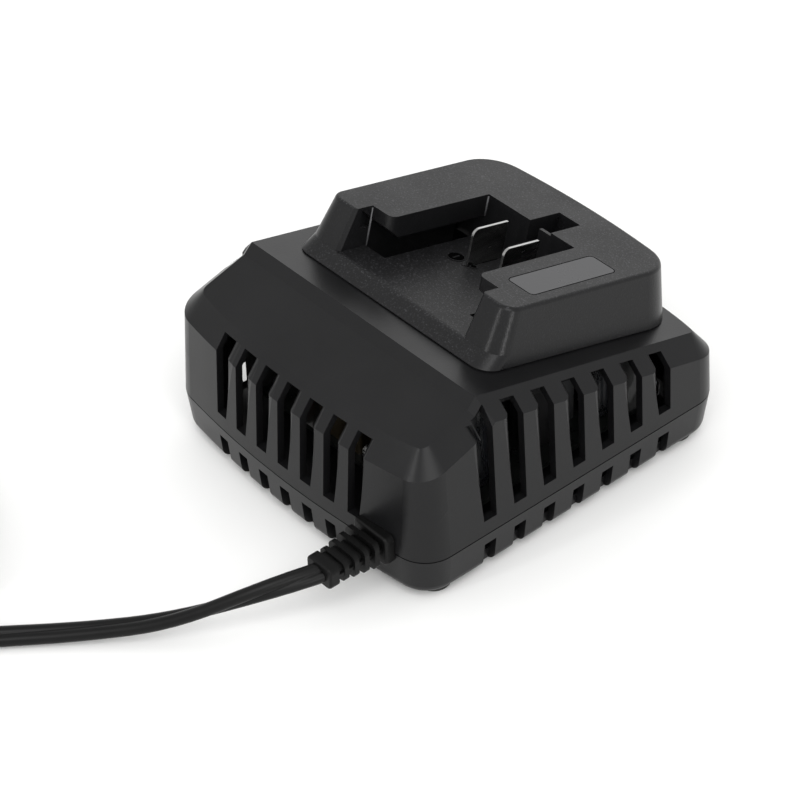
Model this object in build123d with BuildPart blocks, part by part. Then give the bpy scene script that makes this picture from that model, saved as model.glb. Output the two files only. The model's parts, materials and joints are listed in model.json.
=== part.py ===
from build123d import *
import os
from math import cos, pi, radians, sin, sqrt, tan

os.makedirs("parts", exist_ok=True)

# Power tool battery charger in millimetres. +Z is up, the origin lies on the table under the
# middle of the case, the cord leaves at -Y and the battery slides on toward +Y.

# ---------------------------------------------------------------- case
case_width = 108.0
case_depth = 120.2
end_bow_radius = 320.0
case_corner_radius = 10.0
wall = 2.4
upper_draft = 3.2
lower_draft = 6.0
foot_height = 2.0
tray_height = 13.1
bottom_round = 3.5
parting_height = foot_height + tray_height
tongue_height = 1.8
tongue_thickness = 1.1
tongue_clearance = 0.1
groove_overcut = 0.3
shadow_gap = 0.4
shadow_gap_depth = 0.8

# roof of the wedge: plateau falling to the rear, steep band, sloped panel falling to the front
plateau_tilt = 14.5
plateau_height = 48.15
ridge_y = -31.0
band_run = 2.8
band_slope = 47.0
panel_slope = 16.5
rim_chamfer = 5.5

# ---------------------------------------------------------------- vents
vent_count = 7
vent_bottom = 4.5
vent_flare = 3.0
vent_flare_depth = 2.2
vent_flare_foot = 0.3
vent_flare_edge = 15.0
cutter_spare = 0.5
shoulder_flare_share = 0.9
side_vent_start = -34.4
side_vent_pitch = 10.93
side_vent_width = 4.2
side_vent_cover = 1.75
side_vent_reach = 7.0
end_vent_start = -30.6
end_vent_pitch = 9.42
end_vent_width = 4.0
end_vent_cover = 2.0
end_vent_reach = 9.0
tray_vent_drop = 3.9
tray_vent_reach = 3.7

# ---------------------------------------------------------------- dock, in the plane of the plateau
dock_height = 16.5
dock_foot_half_width = 41.8
dock_foot_front = -22.7
dock_foot_rear = 54.8
dock_foot_taper = 2.4
dock_top_taper = 0.8
dock_side_inset = 4.3
dock_apron_inset = 4.2
dock_front_inset = 8.2
dock_rear_inset = 2.8
dock_front_radius = 6.0
dock_rear_radius = 13.0
dock_radius_inset = 1.5
dock_rear_bow_radius = 240.0
dock_top_round = 1.2
dock_wall = 2.4
channel_wall = 2.2
channel_skirt = 5.5
slot_floor = 4.0
slot_floor_thickness = 2.0
slot_half_width = 17.5
slot_rear = 29.2
lip_thickness = 6.8
lip_front = -8.1
lip_round = 2.4
groove_half_width = 28.0
mouth_half_width = 25.7
mouth_edge_chamfer = 1.1
floor_edge_run = 1.0
lead_in_rise = 3.0
lead_in_run = 3.7
latch_left = -0.4
latch_right = 8.0
latch_rear = 40.9
latch_depth = 9.0
latch_rib_start = 3.5
latch_rib_thickness = 1.2
latch_rib_drop = 0.9
roof_opening_half_width = 31.6
roof_opening_front = -12.0
roof_opening_rear = 34.0

# ---------------------------------------------------------------- indicator window and its lights
window_left = 22.9
window_front = -2.3
window_width = 9.9
window_length = 32.7
window_corner = 1.5
window_thickness = 0.6
window_clearance = 0.1
light_x = 31.6
light_front = 1.0
light_pitch = 8.8
light_count = 4
light_hole_diameter = 2.2
led_diameter = 2.0
led_height = 3.4
led_board_left = 30.6
led_board_width = 4.6
led_board_front = -2.0
led_board_length = 32.0
led_board_thickness = 1.0
led_post_height = 2.5
led_post_diameter = 3.0
led_pin_diameter = 1.2
led_pin_length = 1.5
led_post_x = 33.4
led_post_front = 5.4
led_post_rear = 23.0
ribbon_thickness = 0.3
ribbon_front = 10.0
ribbon_width = 8.0

# ---------------------------------------------------------------- contacts
blade_thickness = 0.8
blade_front = 10.7
blade_length = 13.3
blade_top_drop = 0.9
blade_corner = 2.2
negative_blade_x = -4.0
positive_blade_x = 8.5
blade_clearance = 0.1
tag_front = 15.0
tag_width = 5.0
tag_length = 4.0
block_margin_x = 6.0
block_margin_y = 2.2
block_height = 10.0
block_slot_floor = 2.0
ear_length = 6.4
ear_width = 8.0
ear_thickness = 2.5
ear_drop = 5.0
ear_boss_diameter = 6.0

# ---------------------------------------------------------------- screws and feet
screw_diameter = 3.0
screw_head_diameter = 5.6
screw_head_height = 2.0
screw_head_round = 0.7
screw_recess_width = 2.8
screw_recess_thickness = 0.7
screw_tip_chamfer = 0.5
screw_clearance = 0.1
thread_clearance = 0.05
boss_diameter = 7.0
corner_screw_x = 45.5
corner_screw_y = 45.8
well_diameter = 6.4
well_wall = 1.3
case_screw_length = 16.0
dock_screw_length = 10.0
dock_boss_diameter = 6.0
dock_front_screw = (35.2, -10.0)
dock_rear_screw = (30.0, 42.0)
terminal_screw_length = 6.0
foot_diameter = 10.0
foot_plug_height = 3.2
foot_plug_clearance = 0.1
foot_round = 0.8

# ---------------------------------------------------------------- main board and what it carries
board_width = 80.0
board_front = -37.0
board_rear = 50.0
board_thickness = 1.6
board_height = 9.4
board_screw_x = 36.0
board_screw_front = -31.0
board_screw_rear = 45.0
board_screw_length = 6.5
board_boss_diameter = 6.5
lead_diameter = 0.8
wire_diameter = 1.8

fuse_x = 15.0
fuse_y = -33.4
fuse_length = 20.0
fuse_cap_length = 5.0
fuse_cap_diameter = 5.2
fuse_glass_diameter = 4.8

x_capacitor_place = (-6.0, -31.0)
x_capacitor_size = (18.0, 8.0, 15.0)
x_capacitor_round = 1.0
rectifier_place = (6.0, -23.0)
rectifier_size = (15.0, 4.0, 11.0)
rectifier_round = 0.6
optocoupler_place = (4.0, 8.0)
optocoupler_size = (7.0, 6.5, 3.5)
control_chip_place = (3.0, 24.0)
control_chip_size = (10.0, 4.0, 1.8)
chip_round = 0.3

y_capacitor_place = (1.5, 0.5)
y_capacitor_diameter = 9.0
y_capacitor_thickness = 3.5
y_capacitor_round = 1.2

choke_x = -26.0
choke_y = -19.5
choke_radius = 9.0
choke_bore = 4.5
choke_height = 8.0
choke_wire = 1.0
choke_loops = 8
choke_loop_start = 25.0
choke_loop_arc = 130.0
winding_clearance = 0.05

bulk_x = 27.0
bulk_y = -20.0
bulk_diameter = 18.0
bulk_height = 30.0
output_capacitor_diameter = 10.0
output_capacitor_height = 20.0
output_capacitor_y = 27.5
output_capacitor_columns = (20.0, 31.5)
capacitor_round = 0.6
capacitor_groove = 0.6
capacitor_groove_lift = 2.0
capacitor_groove_width = 1.2

transformer_x = -22.0
transformer_y = 8.0
core_length = 30.0
core_thickness = 9.0
core_height = 19.0
core_limb = 4.5
core_bar = 5.0
bobbin_width = 24.0
bobbin_base = 1.5
bobbin_flange = 1.0
bobbin_wall = 1.0
bobbin_clearance = 0.1
winding_inset = 0.6
winding_corner = 3.0

heatsink_plate = 2.5
fin_thickness = 1.4
primary_sink_left = -11.0
primary_sink_right = 15.0
primary_sink_y = -11.0
primary_sink_height = 26.0
primary_fin_depth = 5.5
primary_fin_count = 7
secondary_sink_left = 14.0
secondary_sink_right = 34.0
secondary_sink_y = 5.5
secondary_sink_height = 20.0
secondary_fin_depth = 4.5
secondary_fin_count = 6
transistor_width = 10.0
transistor_height = 15.0
transistor_thickness = 4.4
transistor_lift = 3.0
tab_height = 6.0
tab_thickness = 1.3
leg_pitch = 2.54

# ---------------------------------------------------------------- strain relief and cord
relief_x = 36.5
relief_height = 16.5
relief_seat_inset = 2.8
relief_pad_inset = 5.9
flange_width = 13.4
flange_height = 9.4
flange_thickness = 2.9
flange_round = 1.6
flange_edge_round = 0.8
neck_width = 9.0
neck_height = 5.6
relief_clearance = 0.1
inner_flange_thickness = 2.0
inner_flange_margin = 1.0
rib_count = 4
rib_thickness = 1.5
rib_gap = 1.7
rib_width = 12.2
rib_height = 8.6
rib_taper = 0.35
rib_round = 1.8
end_block_length = 3.2
end_block_width = 9.8
end_block_height = 7.0
end_block_round = 0.7
web_thickness = 1.3
relief_core_width = 8.4
relief_core_height = 4.8
relief_core_round = 1.5
relief_cord_grip = 2.6
relief_cord_reach = 12.9
cord_width = 5.8
cord_thickness = 3.6
cord_lift = 2.9
bend_share = 0.48
lead_pitch = 2.8

mains_lead_run = 6.0
mains_lead_shift = 6.7
mains_lead_rise = 1.0
mains_lead_margin = 1.6
output_lead_gap = 1.2
output_lead_drop = 8.0
output_lead_rise = 8.0
output_lead_landing = 17.5

coil_centre = (-69.0, -160.5)
coil_radius = 31.45
coil_turns_wide = 2
coil_turns_high = 4
coil_turn_pitch = 5.8
coil_base = 0.6
coil_round = 2.5
tie_width = 9.0
tie_angle = 50.0
plug_clearance = 0.3
plug_width = 35.3
plug_thickness = 13.7
plug_body_length = 18.0
plug_shoulder_length = 10.0
plug_neck_length = 9.0
plug_neck_width = 11.0
plug_neck_thickness = 8.6
plug_neck_round = 2.5
plug_collar_margin = 1.0
plug_collar_round = 2.0
plug_round = 5.0
pin_diameter = 4.0
pin_length = 19.0
pin_pitch = 18.6
pin_round = 1.2

lower_floor = foot_height + wall
board_top = board_height + board_thickness
relief_seat_y = case_depth / 2 - relief_seat_inset
relief_pad_y = case_depth / 2 - relief_pad_inset
plateau_slope = tan(radians(plateau_tilt))
dock_plane = Plane(
    origin=(0, 0, plateau_height),
    x_dir=(1, 0, 0),
    z_dir=(0, sin(radians(plateau_tilt)), cos(radians(plateau_tilt))),
)
dock_side_plane = Plane(origin=dock_plane.origin, x_dir=dock_plane.y_dir, z_dir=(1, 0, 0))
corner_screws = [(x, y) for x in (-corner_screw_x, corner_screw_x) for y in (-corner_screw_y, corner_screw_y)]
board_screws = [(x, y) for x in (-board_screw_x, board_screw_x) for y in (board_screw_front, board_screw_rear)]
dock_screws = [(side * x, y) for x, y in (dock_front_screw, dock_rear_screw) for side in (-1, 1)]


def save(part, name):
    part.label = name
    export_step(part, f"parts/{name}.step")


def rectangle_between(left, right, front, rear):
    with Locations(((left + right) / 2, (front + rear) / 2)):
        Rectangle(right - left, rear - front)


def box_between(left, right, front, rear, bottom, top, mode=Mode.ADD):
    with Locations(((left + right) / 2, (front + rear) / 2, (bottom + top) / 2)):
        Box(right - left, rear - front, top - bottom, mode=mode)


# ================================================================ case outline and roof


def plan_outline(inset=0.0):
    # straight sides, bowed ends, rounded corners
    half_width = case_width / 2 - inset
    half_depth = case_depth / 2 - inset
    bow_radius = end_bow_radius - inset
    side = half_depth - bow_radius + sqrt(bow_radius**2 - half_width**2)
    with BuildSketch(Plane.XY, mode=Mode.PRIVATE) as outline:
        with BuildLine():
            ThreePointArc((-half_width, -side), (0, -half_depth), (half_width, -side))
            Line((half_width, -side), (half_width, side))
            ThreePointArc((half_width, side), (0, half_depth), (-half_width, side))
            Line((-half_width, side), (-half_width, -side))
        make_face()
        fillet(outline.vertices(), case_corner_radius - inset / 2)
    return outline.sketch


def roof_line(cover=0.0):
    # side profile of the roof, moved straight into the case by the cover: (y, z) from the front
    band = tan(radians(band_slope))
    panel = tan(radians(panel_slope))
    ridge_z = plateau_height - plateau_slope * ridge_y
    plateau_base = plateau_height - cover / cos(radians(plateau_tilt))
    band_base = ridge_z - band * ridge_y - cover / cos(radians(band_slope))
    foot_y = ridge_y - band_run
    foot_z = ridge_z - band * band_run
    panel_base = foot_z - panel * foot_y - cover / cos(radians(panel_slope))
    top_y = (plateau_base - band_base) / (band + plateau_slope)
    low_y = (band_base - panel_base) / (panel - band)
    reach = case_depth
    return [
        (-reach, panel_base - panel * reach),
        (low_y, band_base + band * low_y),
        (top_y, plateau_base - plateau_slope * top_y),
        (reach, plateau_base - plateau_slope * reach),
    ]


def roof_height(y, cover=0.0):
    # height of the roof at y along its side profile
    points = roof_line(cover)
    for (y0, z0), (y1, z1) in zip(points, points[1:]):
        if y <= y1:
            return z0 + (z1 - z0) * (y - y0) / (y1 - y0)
    return points[-1][1]


def roof_profile(cover=0.0):
    points = roof_line(cover)
    with BuildSketch(Plane.XY, mode=Mode.PRIVATE) as profile:
        with BuildLine():
            Polyline(*points, (case_depth, -case_depth), (-case_depth, -case_depth), close=True)
        make_face()
    return profile.sketch


def roof_layer(outline, height, slope, inset):
    # drafted walls under one flat roof plane, whose height over the middle is given, rim chamfered
    roof = Plane(
        origin=(0, 0, height - inset / cos(radians(slope))),
        x_dir=(1, 0, 0),
        z_dir=(0, -sin(radians(slope)), cos(radians(slope))),
    )
    with BuildPart(mode=Mode.PRIVATE) as layer:
        with BuildSketch(Plane.XY.offset(parting_height)):
            add(outline)
        extrude(amount=4 * plateau_height, taper=upper_draft)
        split(bisect_by=roof, keep=Keep.BOTTOM)
        rim = layer.faces().filter_by(roof).edges()
        chamfer(rim.filter_by(Axis.X, reverse=True), rim_chamfer - (2 - sqrt(2)) * inset)
    return layer.part


def upper_form(inset=0.0):
    # plateau over the steep band, the band over the sloped panel
    ridge_z = plateau_height - plateau_slope * ridge_y
    band_height = ridge_z - tan(radians(band_slope)) * ridge_y
    foot_y = ridge_y - band_run
    foot_z = ridge_z - tan(radians(band_slope)) * band_run
    panel_height = foot_z - tan(radians(panel_slope)) * foot_y
    outline = plan_outline(inset)
    with BuildSketch(Plane.XY, mode=Mode.PRIVATE) as strip:
        Rectangle(case_width - 2 * inset, 2 * case_depth)
    with BuildPart(mode=Mode.PRIVATE) as form:
        add(roof_layer(outline, panel_height, panel_slope, inset))
        add(roof_layer(strip.sketch, band_height, band_slope, inset))
        add(roof_layer(outline, plateau_height, -plateau_tilt, inset), mode=Mode.INTERSECT)
    return form.part


def end_surface(x, height):
    # distance of the bowed end wall from the middle of the case
    bow = end_bow_radius - sqrt(end_bow_radius**2 - x**2)
    return case_depth / 2 - bow - max(height - parting_height, 0) * tan(radians(upper_draft))


def side_surface(height):
    return case_width / 2 - max(height - parting_height, 0) * tan(radians(upper_draft))


def tray_form(inset=0.0, edge_round=bottom_round):
    # shallow drafted tray under the parting plane, its bottom edge rounded
    with BuildPart(mode=Mode.PRIVATE) as form:
        for drop in (0.0, tray_height - inset):
            with BuildSketch(Plane.XY.offset(parting_height - drop)):
                add(plan_outline(inset + drop * tan(radians(lower_draft))))
        loft()
        fillet(form.faces().sort_by(Axis.Z)[0].edges(), edge_round)
    return form.part


def rim_band(inset, thickness):
    with BuildSketch(Plane.XY, mode=Mode.PRIVATE) as band:
        add(plan_outline(inset))
        add(plan_outline(inset + thickness), mode=Mode.SUBTRACT)
    return band.sketch


# ================================================================ vents


def vent_starts(first, pitch):
    return [first + index * pitch for index in range(vent_count)]


def side_vents():
    with BuildPart(mode=Mode.PRIVATE) as cutter:
        for side in (-1, 1):
            with BuildSketch(Plane.YZ.offset(side * (case_width / 2 - side_vent_reach))):
                for start in vent_starts(side_vent_start, side_vent_pitch):
                    bottom = parting_height + vent_bottom
                    rectangle_between(start, start + side_vent_width, bottom, bottom + plateau_height)
                add(roof_profile(side_vent_cover), mode=Mode.INTERSECT)
            extrude(amount=side * 2 * side_vent_reach)
    return cutter.part


def end_vent_top(end):
    # the chamfer of the rim ends a little inside the wall, and the vents stop under it
    return roof_height(end * (case_depth / 2 - rim_chamfer - wall / 2)) - end_vent_cover


def end_vents():
    with BuildPart(mode=Mode.PRIVATE) as cutter:
        for end in (-1, 1):
            middle = end * case_depth / 2
            for start in vent_starts(end_vent_start, end_vent_pitch):
                box_between(
                    start,
                    start + end_vent_width,
                    middle - end_vent_reach,
                    middle + end_vent_reach,
                    parting_height + vent_bottom,
                    end_vent_top(end),
                )
    return cutter.part


def tray_vents():
    # along both sides and the front only
    with BuildPart(mode=Mode.PRIVATE) as cutter:
        top = parting_height - tray_vent_drop
        for side in (-1, 1):
            inner = case_width / 2 - tray_vent_reach
            outer = case_width / 2 + tray_vent_reach
            for start in vent_starts(side_vent_start, side_vent_pitch):
                left, right = sorted((side * inner, side * outer))
                box_between(left, right, start, start + side_vent_width, -foot_height, top)
        for start in vent_starts(end_vent_start, end_vent_pitch):
            inner_end = end_surface(start + end_vent_width / 2, parting_height) - tray_vent_reach
            outer_end = case_depth / 2 + tray_vent_reach
            box_between(start, start + end_vent_width, -outer_end, -inner_end, -foot_height, top)
    return cutter.part


def flared_flank(outward, flank, turn, wall_distance, edge_height, inward_rise, top):
    # wedge that rounds one flank of a vent open, from little at its foot to the full flare; the round
    # starts at the edge angle from the wall and turns into the flank
    shoulder = edge_height - rim_chamfer
    crest = edge_height + rim_chamfer * sin(radians(inward_rise))
    set_back = rim_chamfer * cos(radians(inward_rise)) * (top - shoulder) / (crest - shoulder)
    bottom = parting_height + vent_bottom
    stations = [
        (bottom, wall_distance(bottom), vent_flare_foot),
        (shoulder, wall_distance(shoulder), shoulder_flare_share * vent_flare),
        (top, wall_distance(shoulder) - set_back, vent_flare),
    ]
    spare = cutter_spare
    edge = radians(vent_flare_edge)
    middle = (edge + pi / 2) / 2
    deep_share = cos(middle) / cos(edge)
    side_share = (1 - sin(middle)) / (1 - sin(edge))
    with BuildPart(mode=Mode.PRIVATE) as wedge:
        for height, distance, flare in stations:
            deep = distance - vent_flare_depth
            proud = distance + spare
            lean = turn * flare
            spread = lean * (1 + spare / vent_flare_depth / tan(edge))
            with BuildSketch(Plane(origin=(0, 0, height), x_dir=outward, z_dir=(0, 0, 1))):
                with BuildLine():
                    Polyline(
                        (deep, flank),
                        (deep, flank - turn * spare),
                        (proud, flank - turn * spare),
                        (proud, flank + spread),
                        (distance, flank + lean),
                    )
                    ThreePointArc(
                        (distance, flank + lean),
                        (deep + vent_flare_depth * deep_share, flank + lean * side_share),
                        (deep, flank),
                    )
                make_face()
        loft(ruled=True)
    return wedge.part


def flared_flanks():
    wedges = []
    with BuildPart(mode=Mode.PRIVATE) as under_roof:
        with BuildSketch(Plane.YZ):
            add(roof_profile(side_vent_cover))
        extrude(amount=case_width, both=True)
    for side in (-1, 1):
        for start in vent_starts(side_vent_start, side_vent_pitch):
            edge_height = roof_height(start - vent_flare)
            wedge = flared_flank(
                (side, 0, 0),
                side * start,
                -side,
                side_surface,
                edge_height,
                0.0,
                edge_height - side_vent_cover,
            )
            with BuildPart(mode=Mode.PRIVATE) as trimmed:
                add(wedge)
                add(under_roof.part, mode=Mode.INTERSECT)
            wedges.append(trimmed.part)
    for end, rise in ((-1, panel_slope), (1, plateau_tilt)):
        for start in vent_starts(end_vent_start, end_vent_pitch):
            flank = start + end_vent_width
            edge_height = roof_height(end * end_surface(flank, plateau_height - rim_chamfer))
            wedges.append(
                flared_flank(
                    (0, end, 0),
                    -end * flank,
                    -end,
                    lambda height, x=flank: end_surface(x, height),
                    edge_height,
                    rise,
                    end_vent_top(end),
                )
            )
    return wedges


# ================================================================ case


def relief_opening():
    # seat for the flange outside, neck through the wall
    with BuildPart(mode=Mode.PRIVATE) as cutter:
        seat = Plane(origin=(relief_x, -relief_seat_y, relief_height), x_dir=(1, 0, 0), z_dir=(0, -1, 0))
        with BuildSketch(seat):
            RectangleRounded(
                flange_width + 2 * relief_clearance,
                flange_height + 2 * relief_clearance,
                flange_round + relief_clearance,
            )
        extrude(amount=4 * flange_thickness)
        with BuildSketch(seat):
            Rectangle(neck_width + 2 * relief_clearance, neck_height + 2 * relief_clearance)
        extrude(amount=-2 * wall)
    return cutter.part


def relief_pad(bottom, top):
    # the wall is thicker and flat inside behind the strain relief
    half = flange_width / 2 + 1
    with BuildPart(mode=Mode.PRIVATE) as pad:
        box_between(relief_x - half, relief_x + half, -case_depth / 2, -relief_pad_y, bottom, top)
    return pad.part


with BuildPart() as upper_cavity:
    add(upper_form(wall))
    with BuildSketch(Plane.XY.offset(parting_height)):
        with Locations(*corner_screws):
            Circle(boss_diameter / 2)
    extrude(amount=2 * plateau_height, mode=Mode.SUBTRACT)
    add(relief_pad(parting_height, relief_height + flange_height), mode=Mode.SUBTRACT)

with BuildPart() as upper_case:
    add(upper_form())
    add(upper_cavity.part, mode=Mode.SUBTRACT)
    with BuildSketch(Plane.XY.offset(parting_height)):
        groove_thickness = tongue_thickness + tongue_clearance + groove_overcut
        add(rim_band(wall - tongue_thickness - tongue_clearance, groove_thickness))
    extrude(amount=tongue_height + tongue_clearance, mode=Mode.SUBTRACT)
    add(side_vents(), mode=Mode.SUBTRACT)
    add(end_vents(), mode=Mode.SUBTRACT)
    for wedge in flared_flanks():
        add(wedge, mode=Mode.SUBTRACT)
    with BuildSketch(dock_plane.offset(-2 * wall)):
        rectangle_between(
            -roof_opening_half_width, roof_opening_half_width, roof_opening_front, roof_opening_rear
        )
        with Locations(*dock_screws):
            Circle(screw_diameter / 2 + screw_clearance)
    extrude(amount=4 * wall, mode=Mode.SUBTRACT)
    with BuildSketch(Plane.XY.offset(parting_height)):
        with Locations(*corner_screws):
            Circle(screw_diameter / 2 + thread_clearance)
    extrude(amount=case_screw_length, mode=Mode.SUBTRACT)
    add(relief_opening(), mode=Mode.SUBTRACT)
save(upper_case.part, "upper_case")

well_depth = foot_plug_height + screw_head_height + screw_clearance
with BuildPart() as tray_cavity:
    add(tray_form(wall, bottom_round - wall / 2))
    with BuildSketch(Plane.XY.offset(foot_height)):
        with Locations(*corner_screws):
            Circle(well_diameter / 2 + well_wall)
    extrude(amount=tray_height, mode=Mode.SUBTRACT)
    with BuildSketch(Plane.XY.offset(foot_height)):
        with Locations(*board_screws):
            Circle(board_boss_diameter / 2)
    extrude(amount=board_height - foot_height, mode=Mode.SUBTRACT)
    add(relief_pad(foot_height, parting_height), mode=Mode.SUBTRACT)

with BuildPart() as lower_case:
    add(tray_form())
    add(tray_cavity.part, mode=Mode.SUBTRACT)
    with BuildSketch(Plane.XY.offset(parting_height - tongue_height)):
        add(rim_band(wall - tongue_thickness, tongue_thickness))
    extrude(amount=2 * tongue_height)
    with BuildSketch(Plane.XY.offset(parting_height - shadow_gap)):
        add(rim_band(0.0, shadow_gap_depth))
    extrude(amount=shadow_gap, mode=Mode.SUBTRACT)
    add(tray_vents(), mode=Mode.SUBTRACT)
    with BuildSketch(Plane.XY.offset(foot_height)):
        with Locations(*corner_screws):
            Circle(well_diameter / 2)
    extrude(amount=well_depth, mode=Mode.SUBTRACT)
    with BuildSketch(Plane.XY.offset(foot_height)):
        with Locations(*corner_screws):
            Circle(screw_diameter / 2 + screw_clearance)
    extrude(amount=2 * tray_height, mode=Mode.SUBTRACT)
    with BuildSketch(Plane.XY.offset(lower_floor)):
        with Locations(*board_screws):
            Circle(screw_diameter / 2 + thread_clearance)
    extrude(amount=board_height, mode=Mode.SUBTRACT)
    add(relief_opening(), mode=Mode.SUBTRACT)
save(lower_case.part, "lower_case")

# ================================================================ dock


def dock_front(rise):
    # the apron under the slot leans back more than the wings over it
    if rise <= slot_floor:
        return dock_foot_front + dock_apron_inset * rise / slot_floor
    share = (rise - slot_floor) / (dock_height - slot_floor)
    return dock_foot_front + dock_apron_inset + (dock_front_inset - dock_apron_inset) * share


def dock_section(rise, inset=0.0):
    # outline of the dock at a height over the plateau: sides that close in toward the front, bowed
    # rear, rounded corners
    share = rise / dock_height
    half_width = dock_foot_half_width - dock_side_inset * share - inset
    front_half_width = half_width - dock_foot_taper * (1 - share) - dock_top_taper * share
    front = dock_front(rise) + inset
    rear = dock_foot_rear - dock_rear_inset * share - inset
    side_rear = rear - dock_rear_bow_radius + sqrt(dock_rear_bow_radius**2 - half_width**2)
    with BuildSketch(Plane.XY, mode=Mode.PRIVATE) as outline:
        with BuildLine():
            Polyline(
                (half_width, side_rear),
                (front_half_width, front),
                (-front_half_width, front),
                (-half_width, side_rear),
            )
            ThreePointArc((-half_width, side_rear), (0, rear), (half_width, side_rear))
        make_face()
        corners = outline.vertices().sort_by(Axis.Y)
        fillet(corners[-2:], dock_rear_radius - dock_radius_inset * share - inset)
        corners = outline.vertices().sort_by(Axis.Y)
        fillet(corners[:2], dock_front_radius - dock_radius_inset * share - inset)
    return outline.sketch


def dock_solid(top, inset=0.0):
    with BuildPart(mode=Mode.PRIVATE) as solid:
        for rise in (0.0, slot_floor, top):
            with BuildSketch(dock_plane.offset(rise)):
                add(dock_section(rise, inset))
        loft(ruled=True)
    return solid.part


def slot_outline():
    # way in for the pack: wide mouth in front, narrow slot between the lips
    reach = -2 * dock_foot_front
    with BuildSketch(Plane.XY, mode=Mode.PRIVATE) as outline:
        rectangle_between(-slot_half_width, slot_half_width, -reach, slot_rear)
        rectangle_between(-mouth_half_width, mouth_half_width, -reach, lip_front)
        corners = outline.vertices().filter_by(lambda corner: abs(corner.Y - lip_front) < 0.01)
        fillet(corners.filter_by(lambda corner: abs(corner.X) < slot_half_width + 0.01), lip_round)
    return outline.sketch


def mouth_edge(side):
    # wedge that takes the sharp edge off one side of the mouth, from the slot floor to the deck
    with BuildPart(mode=Mode.PRIVATE) as wedge:
        for rise in (slot_floor, dock_height + cutter_spare):
            front = dock_front(rise)
            near = side * (mouth_half_width - cutter_spare)
            far = side * (mouth_half_width + mouth_edge_chamfer + cutter_spare)
            with BuildSketch(dock_plane.offset(rise)):
                with BuildLine():
                    Polyline(
                        (near, front - cutter_spare),
                        (far, front - cutter_spare),
                        (near, front + mouth_edge_chamfer + cutter_spare),
                        close=True,
                    )
                make_face()
        loft(ruled=True)
    return wedge.part


def floor_edge():
    # rounding between the slot floor and the apron
    front = dock_front(slot_floor)
    down = Vector(-dock_apron_inset, -slot_floor).normalized() * floor_edge_run
    start = (front + floor_edge_run, slot_floor)
    finish = (front + down.X, slot_floor + down.Y)
    with BuildPart(mode=Mode.PRIVATE) as cutter:
        with BuildSketch(dock_side_plane.offset(-mouth_half_width)):
            with BuildLine():
                TangentArc(start, finish, tangent=(-1, 0))
                Polyline(
                    finish,
                    (finish[0] - cutter_spare, finish[1]),
                    (finish[0] - cutter_spare, slot_floor + cutter_spare),
                    (start[0], slot_floor + cutter_spare),
                    start,
                )
            make_face()
        extrude(amount=2 * mouth_half_width)
    return cutter.part


ear_boss_x = (negative_blade_x + positive_blade_x) / 2
block_front = blade_front - block_margin_y
block_rear = blade_front + blade_length + block_margin_y
floor_underside = slot_floor - slot_floor_thickness
ear_bosses = [(ear_boss_x, block_front - ear_length / 2), (ear_boss_x, block_rear + ear_length / 2)]
led_posts = [(led_post_x, led_post_front), (led_post_x, led_post_rear)]
lights = [(light_x, light_front + index * light_pitch) for index in range(light_count)]
deck_underside = dock_height - dock_wall

with BuildPart() as dock_hollow:
    add(dock_solid(deck_underside, dock_wall))
    with BuildSketch(dock_plane.offset(floor_underside)):
        reach = groove_half_width + channel_wall
        rectangle_between(-reach, reach, 2 * dock_foot_front, slot_rear + channel_wall)
        rectangle_between(
            latch_left - channel_wall, latch_right + channel_wall, slot_rear, latch_rear + channel_wall
        )
    extrude(amount=dock_height, mode=Mode.SUBTRACT)
    with BuildSketch(dock_plane.offset(-dock_wall)):
        with Locations(*dock_screws):
            Circle(dock_boss_diameter / 2)
    extrude(amount=2 * dock_height, mode=Mode.SUBTRACT)
    with BuildSketch(dock_plane.offset(deck_underside - led_post_height)):
        with Locations(*led_posts):
            Circle(led_post_diameter / 2)
    extrude(amount=dock_height, mode=Mode.SUBTRACT)

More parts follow.
